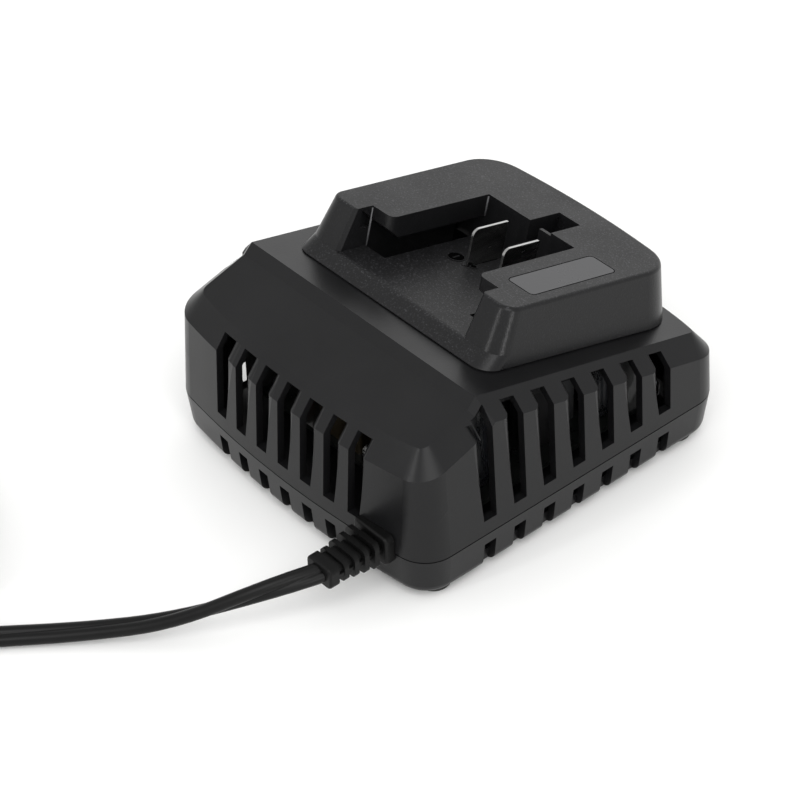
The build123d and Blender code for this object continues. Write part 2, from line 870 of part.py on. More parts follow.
with BuildPart() as battery_dock:
    add(dock_solid(dock_height))
    deck = battery_dock.faces().sort_by(Axis(origin=dock_plane.origin, direction=dock_plane.z_dir))[-1]
    fillet(deck.edges(), dock_top_round)
    add(dock_hollow.part, mode=Mode.SUBTRACT)
    with BuildSketch(dock_plane.offset(slot_floor)):
        add(slot_outline())
    extrude(amount=dock_height, mode=Mode.SUBTRACT)
    for side in (-1, 1):
        add(mouth_edge(side), mode=Mode.SUBTRACT)
    add(floor_edge(), mode=Mode.SUBTRACT)
    lip_underside = dock_height - lip_thickness
    with BuildSketch(dock_plane.offset(slot_floor)):
        rectangle_between(-groove_half_width, groove_half_width, lip_front, slot_rear)
    extrude(amount=lip_underside - slot_floor, mode=Mode.SUBTRACT)
    with BuildSketch(dock_side_plane.offset(-groove_half_width)):
        with BuildLine():
            Polyline(
                (lip_front - lead_in_run, lip_underside),
                (lip_front - lead_in_run, lip_underside + 2 * lead_in_rise),
                (lip_front + lead_in_run, lip_underside),
                close=True,
            )
        make_face()
    extrude(amount=2 * groove_half_width, mode=Mode.SUBTRACT)
    with BuildSketch(dock_plane):
        for side in (-1, 1):
            left, right = sorted((side * slot_half_width, side * groove_half_width))
            rectangle_between(left, right, lip_front, slot_rear)
        for blade_x in (negative_blade_x, positive_blade_x):
            half = blade_thickness / 2 + blade_clearance
            rear = blade_front + blade_length + blade_clearance
            rectangle_between(blade_x - half, blade_x + half, blade_front - blade_clearance, rear)
    extrude(amount=slot_floor, mode=Mode.SUBTRACT)
    with BuildSketch(dock_plane.offset(dock_height - latch_depth)):
        rectangle_between(latch_left, latch_right, slot_rear + latch_rib_thickness, latch_rear)
        rectangle_between(latch_left, latch_rib_start, slot_rear - 1, slot_rear + latch_rib_thickness)
    extrude(amount=2 * latch_depth, mode=Mode.SUBTRACT)
    with BuildSketch(dock_plane.offset(dock_height - latch_rib_drop)):
        rectangle_between(latch_rib_start, latch_right, slot_rear - 1, slot_rear + latch_rib_thickness)
    extrude(amount=dock_wall, mode=Mode.SUBTRACT)
    with BuildSketch(dock_plane.offset(dock_height - window_thickness)):
        with Locations((window_left + window_width / 2, window_front + window_length / 2)):
            RectangleRounded(window_width, window_length, window_corner)
    extrude(amount=2 * window_thickness, mode=Mode.SUBTRACT)
    with BuildSketch(dock_plane.offset(deck_underside)):
        with Locations(*lights):
            Circle(light_hole_diameter / 2)
    extrude(amount=dock_wall, mode=Mode.SUBTRACT)
    with BuildSketch(dock_plane.offset(-channel_skirt)):
        for side in (-1, 1):
            left, right = sorted((side * groove_half_width, side * (groove_half_width + channel_wall)))
            rectangle_between(left, right, lip_front, slot_rear)
    extrude(amount=channel_skirt + slot_floor)
    with BuildSketch(dock_plane.offset(floor_underside - ear_drop)):
        with Locations(*ear_bosses):
            Circle(ear_boss_diameter / 2)
    extrude(amount=ear_drop)
    with BuildSketch(dock_plane.offset(floor_underside - ear_drop)):
        with Locations(*ear_bosses):
            Circle(screw_diameter / 2 + thread_clearance)
    extrude(amount=ear_drop, mode=Mode.SUBTRACT)
    with BuildSketch(dock_plane):
        with Locations(*dock_screws):
            Circle(screw_diameter / 2 + thread_clearance)
    extrude(amount=dock_screw_length, mode=Mode.SUBTRACT)
    with BuildSketch(dock_plane.offset(deck_underside - led_post_height)):
        with Locations(*led_posts):
            Circle(led_pin_diameter / 2)
    extrude(amount=-led_pin_length)
    with BuildSketch(dock_plane):
        add(dock_section(0.0, -shadow_gap_depth))
        add(dock_section(0.0, shadow_gap_depth), mode=Mode.SUBTRACT)
    extrude(amount=shadow_gap, mode=Mode.SUBTRACT)
save(battery_dock.part, "battery_dock")

with BuildPart() as indicator_window:
    with BuildSketch(dock_plane.offset(dock_height - window_thickness)):
        with Locations((window_left + window_width / 2, window_front + window_length / 2)):
            RectangleRounded(
                window_width - 2 * window_clearance,
                window_length - 2 * window_clearance,
                window_corner - window_clearance,
            )
    extrude(amount=window_thickness)
save(indicator_window.part, "indicator_window")

# ================================================================ contacts


def contact_blade(x):
    # plate on edge with a rounded front corner and a narrow solder tag under the block
    top = dock_height - blade_top_drop
    bottom = floor_underside - block_height + block_slot_floor
    with BuildPart(mode=Mode.PRIVATE) as blade:
        with BuildSketch(dock_side_plane.offset(x - blade_thickness / 2)) as profile:
            rectangle_between(blade_front, blade_front + blade_length, bottom, top)
            tag_bottom = bottom - block_slot_floor - tag_length
            rectangle_between(tag_front, tag_front + tag_width, tag_bottom, bottom)
        extrude(amount=blade_thickness)
        front_top = dock_side_plane.from_local_coords((blade_front, top, x))
        corner = blade.edges().filter_by(Axis.X).sort_by_distance(front_top)[0]
        fillet(corner, blade_corner)
    return blade.part


save(contact_blade(negative_blade_x), "negative_blade")
save(contact_blade(positive_blade_x), "positive_blade")

with BuildPart() as terminal_block:
    block_bottom = floor_underside - block_height
    ear_top = floor_underside - ear_drop
    with BuildSketch(dock_plane.offset(block_bottom)):
        rectangle_between(
            negative_blade_x - block_margin_x, positive_blade_x + block_margin_x, block_front, block_rear
        )
    extrude(amount=block_height)
    with BuildSketch(dock_plane.offset(ear_top - ear_thickness)):
        rectangle_between(
            ear_boss_x - ear_width / 2,
            ear_boss_x + ear_width / 2,
            block_front - ear_length,
            block_rear + ear_length,
        )
    extrude(amount=ear_thickness)
    with BuildSketch(dock_plane.offset(block_bottom)):
        with Locations(*ear_bosses):
            Circle(screw_diameter / 2 + screw_clearance)
    extrude(amount=block_height, mode=Mode.SUBTRACT)
    for blade_x in (negative_blade_x, positive_blade_x):
        half = blade_thickness / 2 + blade_clearance
        with BuildSketch(dock_plane.offset(block_bottom + block_slot_floor)):
            rear = blade_front + blade_length + blade_clearance
            rectangle_between(blade_x - half, blade_x + half, blade_front - blade_clearance, rear)
        extrude(amount=block_height, mode=Mode.SUBTRACT)
        with BuildSketch(dock_plane.offset(block_bottom)):
            rear = tag_front + tag_width + blade_clearance
            rectangle_between(blade_x - half, blade_x + half, tag_front - blade_clearance, rear)
        extrude(amount=block_height, mode=Mode.SUBTRACT)
save(terminal_block.part, "terminal_block")

# ================================================================ screws and feet


def screw(seat, x, y, length):
    # pan head under the seat plane, cross recess, shank along the normal of the plane
    place = Plane(seat.location * Pos(x, y, 0))
    along = Axis(origin=place.origin, direction=place.z_dir)
    with BuildPart(mode=Mode.PRIVATE) as body:
        with BuildSketch(place):
            Circle(screw_head_diameter / 2)
        extrude(amount=-screw_head_height)
        fillet(body.faces().sort_by(along)[0].edges(), screw_head_round)
        with BuildSketch(place.offset(-screw_head_height)):
            Rectangle(screw_recess_width, screw_recess_thickness)
            Rectangle(screw_recess_thickness, screw_recess_width)
        extrude(amount=screw_head_height / 2, mode=Mode.SUBTRACT)
        with BuildSketch(place):
            Circle(screw_diameter / 2)
        extrude(amount=length)
        chamfer(body.faces().sort_by(along)[-1].edges(), screw_tip_chamfer)
    return body.part


case_seat = Plane.XY.offset(foot_height + well_depth)
board_seat = Plane(origin=(0, 0, board_top), x_dir=(1, 0, 0), z_dir=(0, 0, -1))
roof_underside = dock_plane.offset(-wall)
ear_underside = dock_plane.offset(floor_underside - ear_drop - ear_thickness)
for number, (x, y) in enumerate(corner_screws, start=1):
    save(screw(case_seat, x, y, case_screw_length), f"case_screw_{number}")
    with BuildPart() as rubber_foot:
        with BuildSketch(Plane.XY):
            with Locations((x, y)):
                Circle(foot_diameter / 2)
        extrude(amount=foot_height)
        fillet(rubber_foot.faces().sort_by(Axis.Z)[0].edges(), foot_round)
        with BuildSketch(Plane.XY.offset(foot_height)):
            with Locations((x, y)):
                Circle(well_diameter / 2 - foot_plug_clearance)
        extrude(amount=foot_plug_height)
    save(rubber_foot.part, f"rubber_foot_{number}")
for number, (x, y) in enumerate(board_screws, start=1):
    save(screw(board_seat, x, -y, board_screw_length), f"board_screw_{number}")
for number, (x, y) in enumerate(dock_screws, start=1):
    save(screw(roof_underside, x, y, dock_screw_length), f"dock_screw_{number}")
for number, (x, y) in enumerate(ear_bosses, start=1):
    save(screw(ear_underside, x, y, terminal_screw_length), f"terminal_screw_{number}")

# ================================================================ main board

with BuildPart() as main_board:
    box_between(-board_width / 2, board_width / 2, board_front, board_rear, board_height, board_top)
    with BuildSketch(Plane.XY.offset(board_height)):
        with Locations(*board_screws):
            Circle(screw_diameter / 2 + screw_clearance)
    extrude(amount=board_thickness, mode=Mode.SUBTRACT)
save(main_board.part, "main_board")

fuse_height = board_top + fuse_cap_diameter / 2
fuse_plane = Plane(origin=(fuse_x, fuse_y, fuse_height), z_dir=(1, 0, 0))
with BuildPart() as fuse_glass:
    half = fuse_length / 2 - fuse_cap_length
    with BuildSketch(fuse_plane.offset(-half)):
        Circle(fuse_glass_diameter / 2)
    extrude(amount=2 * half)
save(fuse_glass.part, "fuse_glass")

with BuildPart() as fuse_caps:
    for offset in (-fuse_length / 2, fuse_length / 2 - fuse_cap_length):
        with BuildSketch(fuse_plane.offset(offset)):
            Circle(fuse_cap_diameter / 2)
        extrude(amount=fuse_cap_length)
save(fuse_caps.part, "fuse_caps")


def component_box(place, size, edge_round):
    length, width, height = size
    with BuildPart(mode=Mode.PRIVATE) as body:
        with BuildSketch(Plane.XY.offset(board_top)):
            with Locations(place):
                Rectangle(length, width)
        extrude(amount=height)
        fillet(body.edges().filter_by(Axis.Z), edge_round)
        fillet(body.faces().sort_by(Axis.Z)[-1].edges(), edge_round / 2)
    return body.part


save(component_box(x_capacitor_place, x_capacitor_size, x_capacitor_round), "x_capacitor")
save(component_box(rectifier_place, rectifier_size, rectifier_round), "bridge_rectifier")
save(component_box(optocoupler_place, optocoupler_size, chip_round), "optocoupler")
save(component_box(control_chip_place, control_chip_size, chip_round), "control_chip")

disc_x, disc_y = y_capacitor_place
with BuildPart() as y_capacitor:
    with BuildSketch(Plane(origin=(disc_x, disc_y, board_top + y_capacitor_diameter / 2), z_dir=(0, 1, 0))):
        Circle(y_capacitor_diameter / 2)
    extrude(amount=y_capacitor_thickness)
    fillet(y_capacitor.edges(), y_capacitor_round)
save(y_capacitor.part, "y_capacitor")

with BuildPart() as choke_core:
    with BuildSketch(Plane.XY.offset(board_top + choke_wire)):
        with Locations((choke_x, choke_y)):
            Circle(choke_radius)
            Circle(choke_bore, mode=Mode.SUBTRACT)
    extrude(amount=choke_height)
save(choke_core.part, "choke_core")

with BuildPart() as choke_windings:
    for half_turn in (0, 180):
        for loop in range(choke_loops):
            turn = half_turn + choke_loop_start + loop * choke_loop_arc / (choke_loops - 1)
            radial = Location((choke_x, choke_y, board_top), (0, 0, turn))
            with BuildSketch(Plane(radial) * Plane.XZ):
                hole = choke_bore - winding_clearance
                rectangle_between(
                    hole - choke_wire, choke_radius + choke_wire, 0, choke_height + 2 * choke_wire
                )
                with Locations(((hole + choke_radius) / 2, choke_wire + choke_height / 2)):
                    Rectangle(choke_radius - hole, choke_height, mode=Mode.SUBTRACT)
            extrude(amount=choke_wire / 2, both=True)
save(choke_windings.part, "choke_windings")


def capacitor(x, y, diameter, height):
    # aluminium can with a rolled groove over its base and a rounded rim
    with BuildPart(mode=Mode.PRIVATE) as can:
        with BuildSketch(Plane.XY.offset(board_top)):
            with Locations((x, y)):
                Circle(diameter / 2)
        extrude(amount=height)
        fillet(can.edges(), capacitor_round)
        with BuildSketch(Plane.XY.offset(board_top + capacitor_groove_lift)):
            with Locations((x, y)):
                Circle(diameter / 2 + capacitor_groove)
                Circle(diameter / 2 - capacitor_groove, mode=Mode.SUBTRACT)
        extrude(amount=capacitor_groove_width, mode=Mode.SUBTRACT)
    return can.part


save(capacitor(bulk_x, bulk_y, bulk_diameter, bulk_height), "bulk_capacitor")
for number, x in enumerate(output_capacitor_columns, start=1):
    can = capacitor(x, output_capacitor_y, output_capacitor_diameter, output_capacitor_height)
    save(can, f"output_capacitor_{number}")


def heatsink(left, right, plate_y, fin_depth, height, fin_count):
    # upright plate with fins on its front
    with BuildPart(mode=Mode.PRIVATE) as sink:
        box_between(left, right, plate_y, plate_y + heatsink_plate, board_top, board_top + height)
        for index in range(fin_count):
            start = left + index * (right - left - fin_thickness) / (fin_count - 1)
            box_between(
                start, start + fin_thickness, plate_y - fin_depth, plate_y, board_top, board_top + height
            )
    return sink.part


def transistor(x, face_y):
    # plastic body with a metal tab over it and three legs, flat against a heatsink face
    with BuildPart(mode=Mode.PRIVATE) as body:
        half = transistor_width / 2
        bottom = board_top + transistor_lift
        middle = bottom + transistor_height - tab_height
        box_between(x - half, x + half, face_y, face_y + transistor_thickness, bottom, middle)
        box_between(x - half, x + half, face_y, face_y + tab_thickness, middle, middle + tab_height)
        for step in (-1, 0, 1):
            leg_x = x + step * leg_pitch
            leg_y = face_y + transistor_thickness / 2
            half_leg = lead_diameter / 2
            box_between(
                leg_x - half_leg, leg_x + half_leg, leg_y - half_leg, leg_y + half_leg, board_top, bottom
            )
    return body.part


primary_heatsink = heatsink(
    primary_sink_left,
    primary_sink_right,
    primary_sink_y,
    primary_fin_depth,
    primary_sink_height,
    primary_fin_count,
)
secondary_heatsink = heatsink(
    secondary_sink_left,
    secondary_sink_right,
    secondary_sink_y,
    secondary_fin_depth,
    secondary_sink_height,
    secondary_fin_count,
)
primary_middle = (primary_sink_left + primary_sink_right) / 2
secondary_middle = (secondary_sink_left + secondary_sink_right) / 2
save(primary_heatsink, "primary_heatsink")
save(transistor(primary_middle, primary_sink_y + heatsink_plate), "switching_transistor")
save(secondary_heatsink, "secondary_heatsink")
save(transistor(secondary_middle, secondary_sink_y + heatsink_plate), "output_diode")

# transformer: two E halves of ferrite round a bobbin, the middle limb twice an outer one, its
# winding between the flanges
core_base = board_top + bobbin_base
core_top = core_base + core_height
window_bottom = core_base + core_bar
window_top = core_top - core_bar
bobbin_half_x = core_length / 2 - core_limb - bobbin_clearance
with BuildPart() as transformer_core:
    with BuildSketch(Plane(origin=(transformer_x, transformer_y, 0), x_dir=(1, 0, 0), z_dir=(0, -1, 0))):
        rectangle_between(-core_length / 2, core_length / 2, core_base, core_top)
        for side in (-1, 1):
            near, far = sorted((side * core_limb, side * (core_length / 2 - core_limb)))
            with Locations(((near + far) / 2, (window_bottom + window_top) / 2)):
                Rectangle(far - near, window_top - window_bottom, mode=Mode.SUBTRACT)
    extrude(amount=core_thickness / 2, both=True)
save(transformer_core.part, "transformer_core")

tube_half_x = core_limb + bobbin_clearance + bobbin_wall
tube_half_y = core_thickness / 2 + bobbin_clearance + bobbin_wall
with BuildPart() as transformer_bobbin:
    with Locations((transformer_x, transformer_y, 0)):
        half_y = bobbin_width / 2
        box_between(-core_length / 2, core_length / 2, -half_y, half_y, board_top, core_base)
        for side in (-1, 1):
            near, far = sorted((side * (core_thickness / 2 + bobbin_clearance), side * half_y))
            box_between(-bobbin_half_x, bobbin_half_x, near, far, core_base, window_bottom)
        box_between(
            -bobbin_half_x, bobbin_half_x, -half_y, half_y, window_bottom, window_bottom + bobbin_flange
        )
        box_between(-bobbin_half_x, bobbin_half_x, -half_y, half_y, window_top - bobbin_flange, window_top)
        box_between(-tube_half_x, tube_half_x, -tube_half_y, tube_half_y, window_bottom, window_top)
        bore_x = core_limb + bobbin_clearance
        bore_y = core_thickness / 2 + bobbin_clearance
        box_between(-bore_x, bore_x, -bore_y, bore_y, window_bottom, window_top, mode=Mode.SUBTRACT)
save(transformer_bobbin.part, "transformer_bobbin")

with BuildPart() as transformer_winding:
    with BuildSketch(Plane.XY.offset(window_bottom + bobbin_flange)):
        with Locations((transformer_x, transformer_y)):
            winding_width = bobbin_width - 2 * winding_inset
            RectangleRounded(2 * (bobbin_half_x - winding_inset), winding_width, winding_corner)
            Rectangle(2 * tube_half_x, 2 * tube_half_y, mode=Mode.SUBTRACT)
    extrude(amount=window_top - window_bottom - 2 * bobbin_flange)
save(transformer_winding.part, "transformer_winding")

# ================================================================ indicator lights

with BuildPart() as led_board:
    board_rise = deck_underside - led_post_height - led_board_thickness
    with BuildSketch(dock_plane.offset(board_rise)):
        rectangle_between(
            led_board_left,
            led_board_left + led_board_width,
            led_board_front,
            led_board_front + led_board_length,
        )
        with Locations(*led_posts):
            Circle(led_pin_diameter / 2 + thread_clearance, mode=Mode.SUBTRACT)
    extrude(amount=led_board_thickness)
save(led_board.part, "led_board")

with BuildPart() as indicator_leds:
    with BuildSketch(dock_plane.offset(board_rise + led_board_thickness)):
        with Locations(*lights):
            Circle(led_diameter / 2)
    extrude(amount=led_height)
save(indicator_leds.part, "indicator_leds")

with BuildPart() as led_ribbon:
    ribbon_start = dock_side_plane.from_local_coords((ribbon_front, board_rise, 0))
    ribbon_end = dock_side_plane.from_local_coords((ribbon_front + ribbon_width, board_rise, 0))
    with BuildSketch(Plane.YZ.offset(led_board_left)):
        with BuildLine():
            Polyline(
                (ribbon_start.Y, board_top),
                (ribbon_start.Y, ribbon_start.Z),
                (ribbon_end.Y, ribbon_end.Z),
                (ribbon_end.Y, board_top),
                close=True,
            )
        make_face()
    extrude(amount=ribbon_thickness)
save(led_ribbon.part, "led_ribbon")

# ================================================================ wires inside


def bend_radii(points, end_share=bend_share):
    # largest arcs that fit the runs of a route; two bends share each run between them
    runs = [Vector(*after) - Vector(*before) for before, after in zip(points, points[1:])]
    reaches = [bend_share * run.length for run in runs]
    reaches[0] = end_share * runs[0].length
    reaches[-1] = end_share * runs[-1].length
    radii = []
    for bend in range(len(runs) - 1):
        turn = radians(runs[bend].get_angle(runs[bend + 1]))
        radii.append(min(reaches[bend : bend + 2]) / tan(turn / 2))
    return radii


def wire(points, diameter):
    with BuildPart(mode=Mode.PRIVATE) as run:
        with BuildLine() as path:
            FilletPolyline(*points, radius=bend_radii(points))
        with BuildSketch(Plane(origin=path.line @ 0, z_dir=path.line % 0)):
            Circle(diameter / 2)
        sweep(path=path.line)
    return run.part


with BuildPart() as mains_leads:
    for side in (-1, 1):
        start_x = relief_x + side * lead_pitch / 2
        start_y = inner_flange_thickness - relief_pad_y
        landing_x = start_x - mains_lead_shift
        landing_y = board_front + mains_lead_margin
        route = [
            (start_x, start_y, relief_height),
            (start_x, start_y + mains_lead_run, relief_height),
            (landing_x, landing_y, relief_height + mains_lead_rise),
            (landing_x, landing_y, board_top),
        ]
        add(wire(route, wire_diameter))
save(mains_leads.part, "mains_leads")

with BuildPart() as output_leads:
    tag_end = (tag_front + tag_width / 2, block_bottom - output_lead_gap, 0)
    lead_top = dock_side_plane.from_local_coords(tag_end)
    for blade_x in (negative_blade_x, positive_blade_x):
        x = blade_x + blade_thickness / 2 + wire_diameter / 2
        route = [
            (x, lead_top.Y, lead_top.Z),
            (x, lead_top.Y, lead_top.Z - output_lead_drop),
            (x, output_lead_landing, board_top + output_lead_rise),
            (x, output_lead_landing, board_top),
        ]
        add(wire(route, wire_diameter))
save(output_leads.part, "output_leads")

# ================================================================ cord

relief_end_y = -(
    relief_seat_y + flange_thickness + rib_count * (rib_gap + rib_thickness) + rib_gap + end_block_length
)
cord_route = [
    (37.2, relief_end_y + relief_cord_grip, relief_height - 0.1),
    (32.9, relief_end_y - relief_cord_reach, relief_height + 0.2),
    (16.5, -111.5, 6.6),
    (1.0, -129.4, 3.4),
    (-14.0, -148.0, cord_lift),
    (-29.0, -168.5, cord_lift + coil_base),
    (-42.8, -183.7, cord_lift + coil_base),
]


def flat_cord(points, end_share):
    radii = bend_radii(points, end_share)
    with BuildPart(mode=Mode.PRIVATE) as run:
        with BuildLine() as path:
            FilletPolyline(*points, radius=radii)
        along = path.line % 0
        across = Vector(0, 0, 1).cross(along)
        with BuildSketch(Plane(origin=path.line @ 0, x_dir=across, z_dir=along)):
            SlotOverall(cord_width, cord_thickness)
        sweep(path=path.line)
    section = cord_thickness * (cord_width - cord_thickness) + pi * cord_thickness**2 / 4
    length = path.wire().length
    print("cord radii", [round(radius, 1) for radius in radii])
    print("cord length", round(length, 1), "volume share", round(run.part.volume / section / length, 4))
    return run.part


mains_cord = flat_cord(cord_route, end_share=bend_share)
save(mains_cord, "mains_cord")

with BuildPart() as strain_relief:
    seat = Plane(origin=(relief_x, -relief_seat_y, relief_height), x_dir=(1, 0, 0), z_dir=(0, -1, 0))
    inner_face = relief_pad_y - relief_seat_y
    with BuildSketch(seat):
        RectangleRounded(flange_width, flange_height, flange_round)
    extrude(amount=flange_thickness)
    fillet(strain_relief.faces().sort_by(Axis.Y)[0].edges(), flange_edge_round)
    with BuildSketch(seat):
        Rectangle(neck_width, neck_height)
    extrude(amount=inner_face)
    with BuildSketch(seat.offset(inner_face)):
        RectangleRounded(flange_width, neck_height + 2 * inner_flange_margin, flange_round)
    extrude(amount=-inner_flange_thickness)
    end = flange_thickness + rib_count * (rib_gap + rib_thickness) + rib_gap
    with BuildSketch(seat):
        RectangleRounded(relief_core_width, relief_core_height, relief_core_round)
    extrude(amount=end)
    with BuildSketch(seat):
        Rectangle(end_block_width, web_thickness)
    extrude(amount=end)
    for index in range(rib_count):
        start = flange_thickness + rib_gap + index * (rib_gap + rib_thickness)
        shrink = 2 * rib_taper * index
        with BuildSketch(seat.offset(start)):
            RectangleRounded(rib_width - shrink, rib_height - shrink, rib_round)
        extrude(amount=rib_thickness)
    with BuildSketch(seat.offset(end)):
        RectangleRounded(end_block_width, end_block_height, rib_round)
    extrude(amount=end_block_length)
    fillet(strain_relief.faces().sort_by(Axis.Y)[0].edges(), end_block_round)
    add(mains_cord, mode=Mode.SUBTRACT)
save(strain_relief.part, "strain_relief")

# ================================================================ put-away coil and plug

coil_width = coil_turns_wide * coil_turn_pitch
coil_height = coil_turns_high * coil_turn_pitch
with BuildPart() as cord_coil:
    with BuildSketch(Plane.XY.offset(coil_base)):
        with Locations(coil_centre):
            Circle(coil_radius + coil_width / 2)
            Circle(coil_radius - coil_width / 2, mode=Mode.SUBTRACT)
    extrude(amount=coil_height)
    fillet(cord_coil.edges(), coil_round)

with BuildPart() as cord_tie:
    outward = Location((coil_centre[0], coil_centre[1], coil_base + coil_height / 2), (0, 0, tie_angle))
    with BuildSketch(Plane(outward) * Plane.XZ):
        with Locations((coil_radius, 0)):
            outer_round = coil_round + coil_base
            RectangleRounded(coil_width + 2 * coil_base, coil_height + 2 * coil_base, outer_round)
    extrude(amount=tie_width / 2, both=True)
    add(cord_coil.part, mode=Mode.SUBTRACT)
save(cord_coil.part, "cord_coil")
save(cord_tie.part, "cord_tie")

# the tail leaves the top layer, turns back beside the coil and carries the plug, which lies on it
coil_top = coil_base + coil_height
plug_lift = coil_top + plug_clearance + plug_thickness / 2
tail_route = [
    (-34.65, -160.5, coil_top - cord_lift),
    (-34.65, -198.7, 17.0),
    (-66.15, -216.9, 13.0),
    (-97.65, -198.7, plug_lift),
    (-97.65, -180.1, plug_lift),
]
save(flat_cord(tail_route, end_share=2 * bend_share), "cord_tail")

plug_direction = Vector(*tail_route[-1]) - Vector(*tail_route[-2])
plug_start = Plane(
    origin=tail_route[-1], x_dir=Vector(0, 0, 1).cross(plug_direction), z_dir=plug_direction
)
neck_end = plug_neck_length
shoulder_end = neck_end + plug_shoulder_length
pin_face = plug_start.offset(shoulder_end + plug_body_length)
with BuildPart() as plug_body:
    with BuildSketch(plug_start):
        collar = 2 * plug_collar_margin
        RectangleRounded(cord_width + collar, cord_thickness + collar, plug_collar_round)
    with BuildSketch(plug_start.offset(neck_end)):
        RectangleRounded(plug_neck_width, plug_neck_thickness, plug_neck_round)
    loft()
    with BuildSketch(plug_start.offset(neck_end)):
        RectangleRounded(plug_neck_width, plug_neck_thickness, plug_neck_round)
    with BuildSketch(plug_start.offset(shoulder_end)):
        RectangleRounded(plug_width, plug_thickness, plug_round)
    loft()
    with BuildSketch(plug_start.offset(shoulder_end)):
        RectangleRounded(plug_width, plug_thickness, plug_round)
    extrude(amount=plug_body_length)
save(plug_body.part, "plug_body")

with BuildPart() as plug_pins:
    with BuildSketch(pin_face):
        with GridLocations(pin_pitch, 1, 2, 1):
            Circle(pin_diameter / 2)
    extrude(amount=pin_length)
    fillet(plug_pins.faces().sort_by(Axis(pin_face.origin, pin_face.z_dir))[-2:].edges(), pin_round)
save(plug_pins.part, "plug_pins")
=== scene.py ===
import json
import math
import bmesh
import bpy
from mathutils import Matrix, Vector


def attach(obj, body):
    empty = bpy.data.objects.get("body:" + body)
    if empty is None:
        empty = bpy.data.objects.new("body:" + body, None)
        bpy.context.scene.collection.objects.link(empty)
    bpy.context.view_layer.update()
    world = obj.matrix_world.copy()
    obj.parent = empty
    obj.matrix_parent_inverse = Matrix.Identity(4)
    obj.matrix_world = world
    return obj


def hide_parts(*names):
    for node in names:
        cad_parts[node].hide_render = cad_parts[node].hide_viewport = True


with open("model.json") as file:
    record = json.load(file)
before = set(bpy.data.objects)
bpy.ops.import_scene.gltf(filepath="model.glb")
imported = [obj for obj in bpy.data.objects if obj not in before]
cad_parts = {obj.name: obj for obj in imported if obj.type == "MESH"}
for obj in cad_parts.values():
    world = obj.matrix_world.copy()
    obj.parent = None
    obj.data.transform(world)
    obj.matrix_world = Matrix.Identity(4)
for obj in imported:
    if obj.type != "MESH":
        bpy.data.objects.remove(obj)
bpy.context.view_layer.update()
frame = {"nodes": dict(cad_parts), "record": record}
nodes = frame["nodes"]
scene = bpy.context.scene
print("frame loaded:", len(nodes), "nodes")


def mm(*values):
    # millimetres to a point in metres
    return Vector(values) / 1000


# camera: a long lens from the cord side, a little over the near corner; degrees, metres and
# millimetres of lens
view = {
    "azimuth": 49.8887,
    "elevation": 39.4052,
    "roll": -1.5976,
    "distance": 0.814012,
    "target": (-0.00933, -0.009669, 0.009531),
    "lens": 128.388,
    "sensor": 36.0,
    "nearest": 0.05,
    "farthest": 20,
}


def addCamera():
    azimuth, elevation, roll = (
        math.radians(view[angle]) for angle in ("azimuth", "elevation", "roll")
    )
    level = Vector((math.cos(azimuth), math.sin(azimuth), 0))
    outward = Vector((math.sin(azimuth), -math.cos(azimuth), 0))
    back = outward * math.cos(elevation) + Vector((0, 0, math.sin(elevation)))
    upright = back.cross(level)
    right = level * math.cos(roll) + upright * math.sin(roll)
    up = upright * math.cos(roll) - level * math.sin(roll)
    data = bpy.data.cameras.new("camera")
    data.lens = view["lens"]
    data.sensor_width = view["sensor"]
    data.clip_start = view["nearest"]
    data.clip_end = view["farthest"]
    camera = bpy.data.objects.new("camera", data)
    scene.collection.objects.link(camera)
    place = Matrix.Translation(Vector(view["target"]) + back * view["distance"])
    camera.matrix_world = place @ Matrix((right, up, back)).transposed().to_4x4()
    scene.camera = camera


addCamera()
print("camera placed")

# mains cord: flat two-core PVC, out of the relief, down to the table, twisting over once, then
# wound up clockwise in eight turns, and off the top layer to the plug; millimetres and degrees
cord = {
    "width": 5.8,
    "thickness": 3.6,
    "lobeSteps": 14,
    "smoothness": 6,
    "run": [
        (37.2, -75.3, 16.4),
        (32.9, -90.8, 16.7),
        (16.5, -111.5, 6.6),
        (1.0, -129.4, 3.4),
        (-14.0, -148.0, 2.9),
        (-29.0, -168.5, 3.5),
        (-42.8, -183.7, 3.5),
    ],
    "runTilt": [-120, -172, -262, -276, -296, -325, -345],
    "coilCentre": (-69.0, -160.5),
    "coilRadii": (34.35, 28.55),
    "coilBase": 3.5,
    "coilPitch": 5.8,
    "coilStart": -52.0,
    "coilTurns": 7.856,
    "coilTilt": -360,
    "pointsPerTurn": 16,
    # outer or inner ring and layer of each turn
    "lanes": ((0, 0), (1, 0), (1, 1), (0, 1), (0, 2), (1, 2), (1, 3), (0, 3)),
    "laneBlend": 0.16,
    "tail": [
        (-34.65, -160.5, 20.9),
        (-34.65, -198.7, 17.0),
        (-66.15, -216.9, 13.0),
        (-97.65, -198.7, 30.95),
        (-97.65, -180.1, 30.95),
    ],
    "tailTilt": [-360, -375, -405, -440, -450],
}


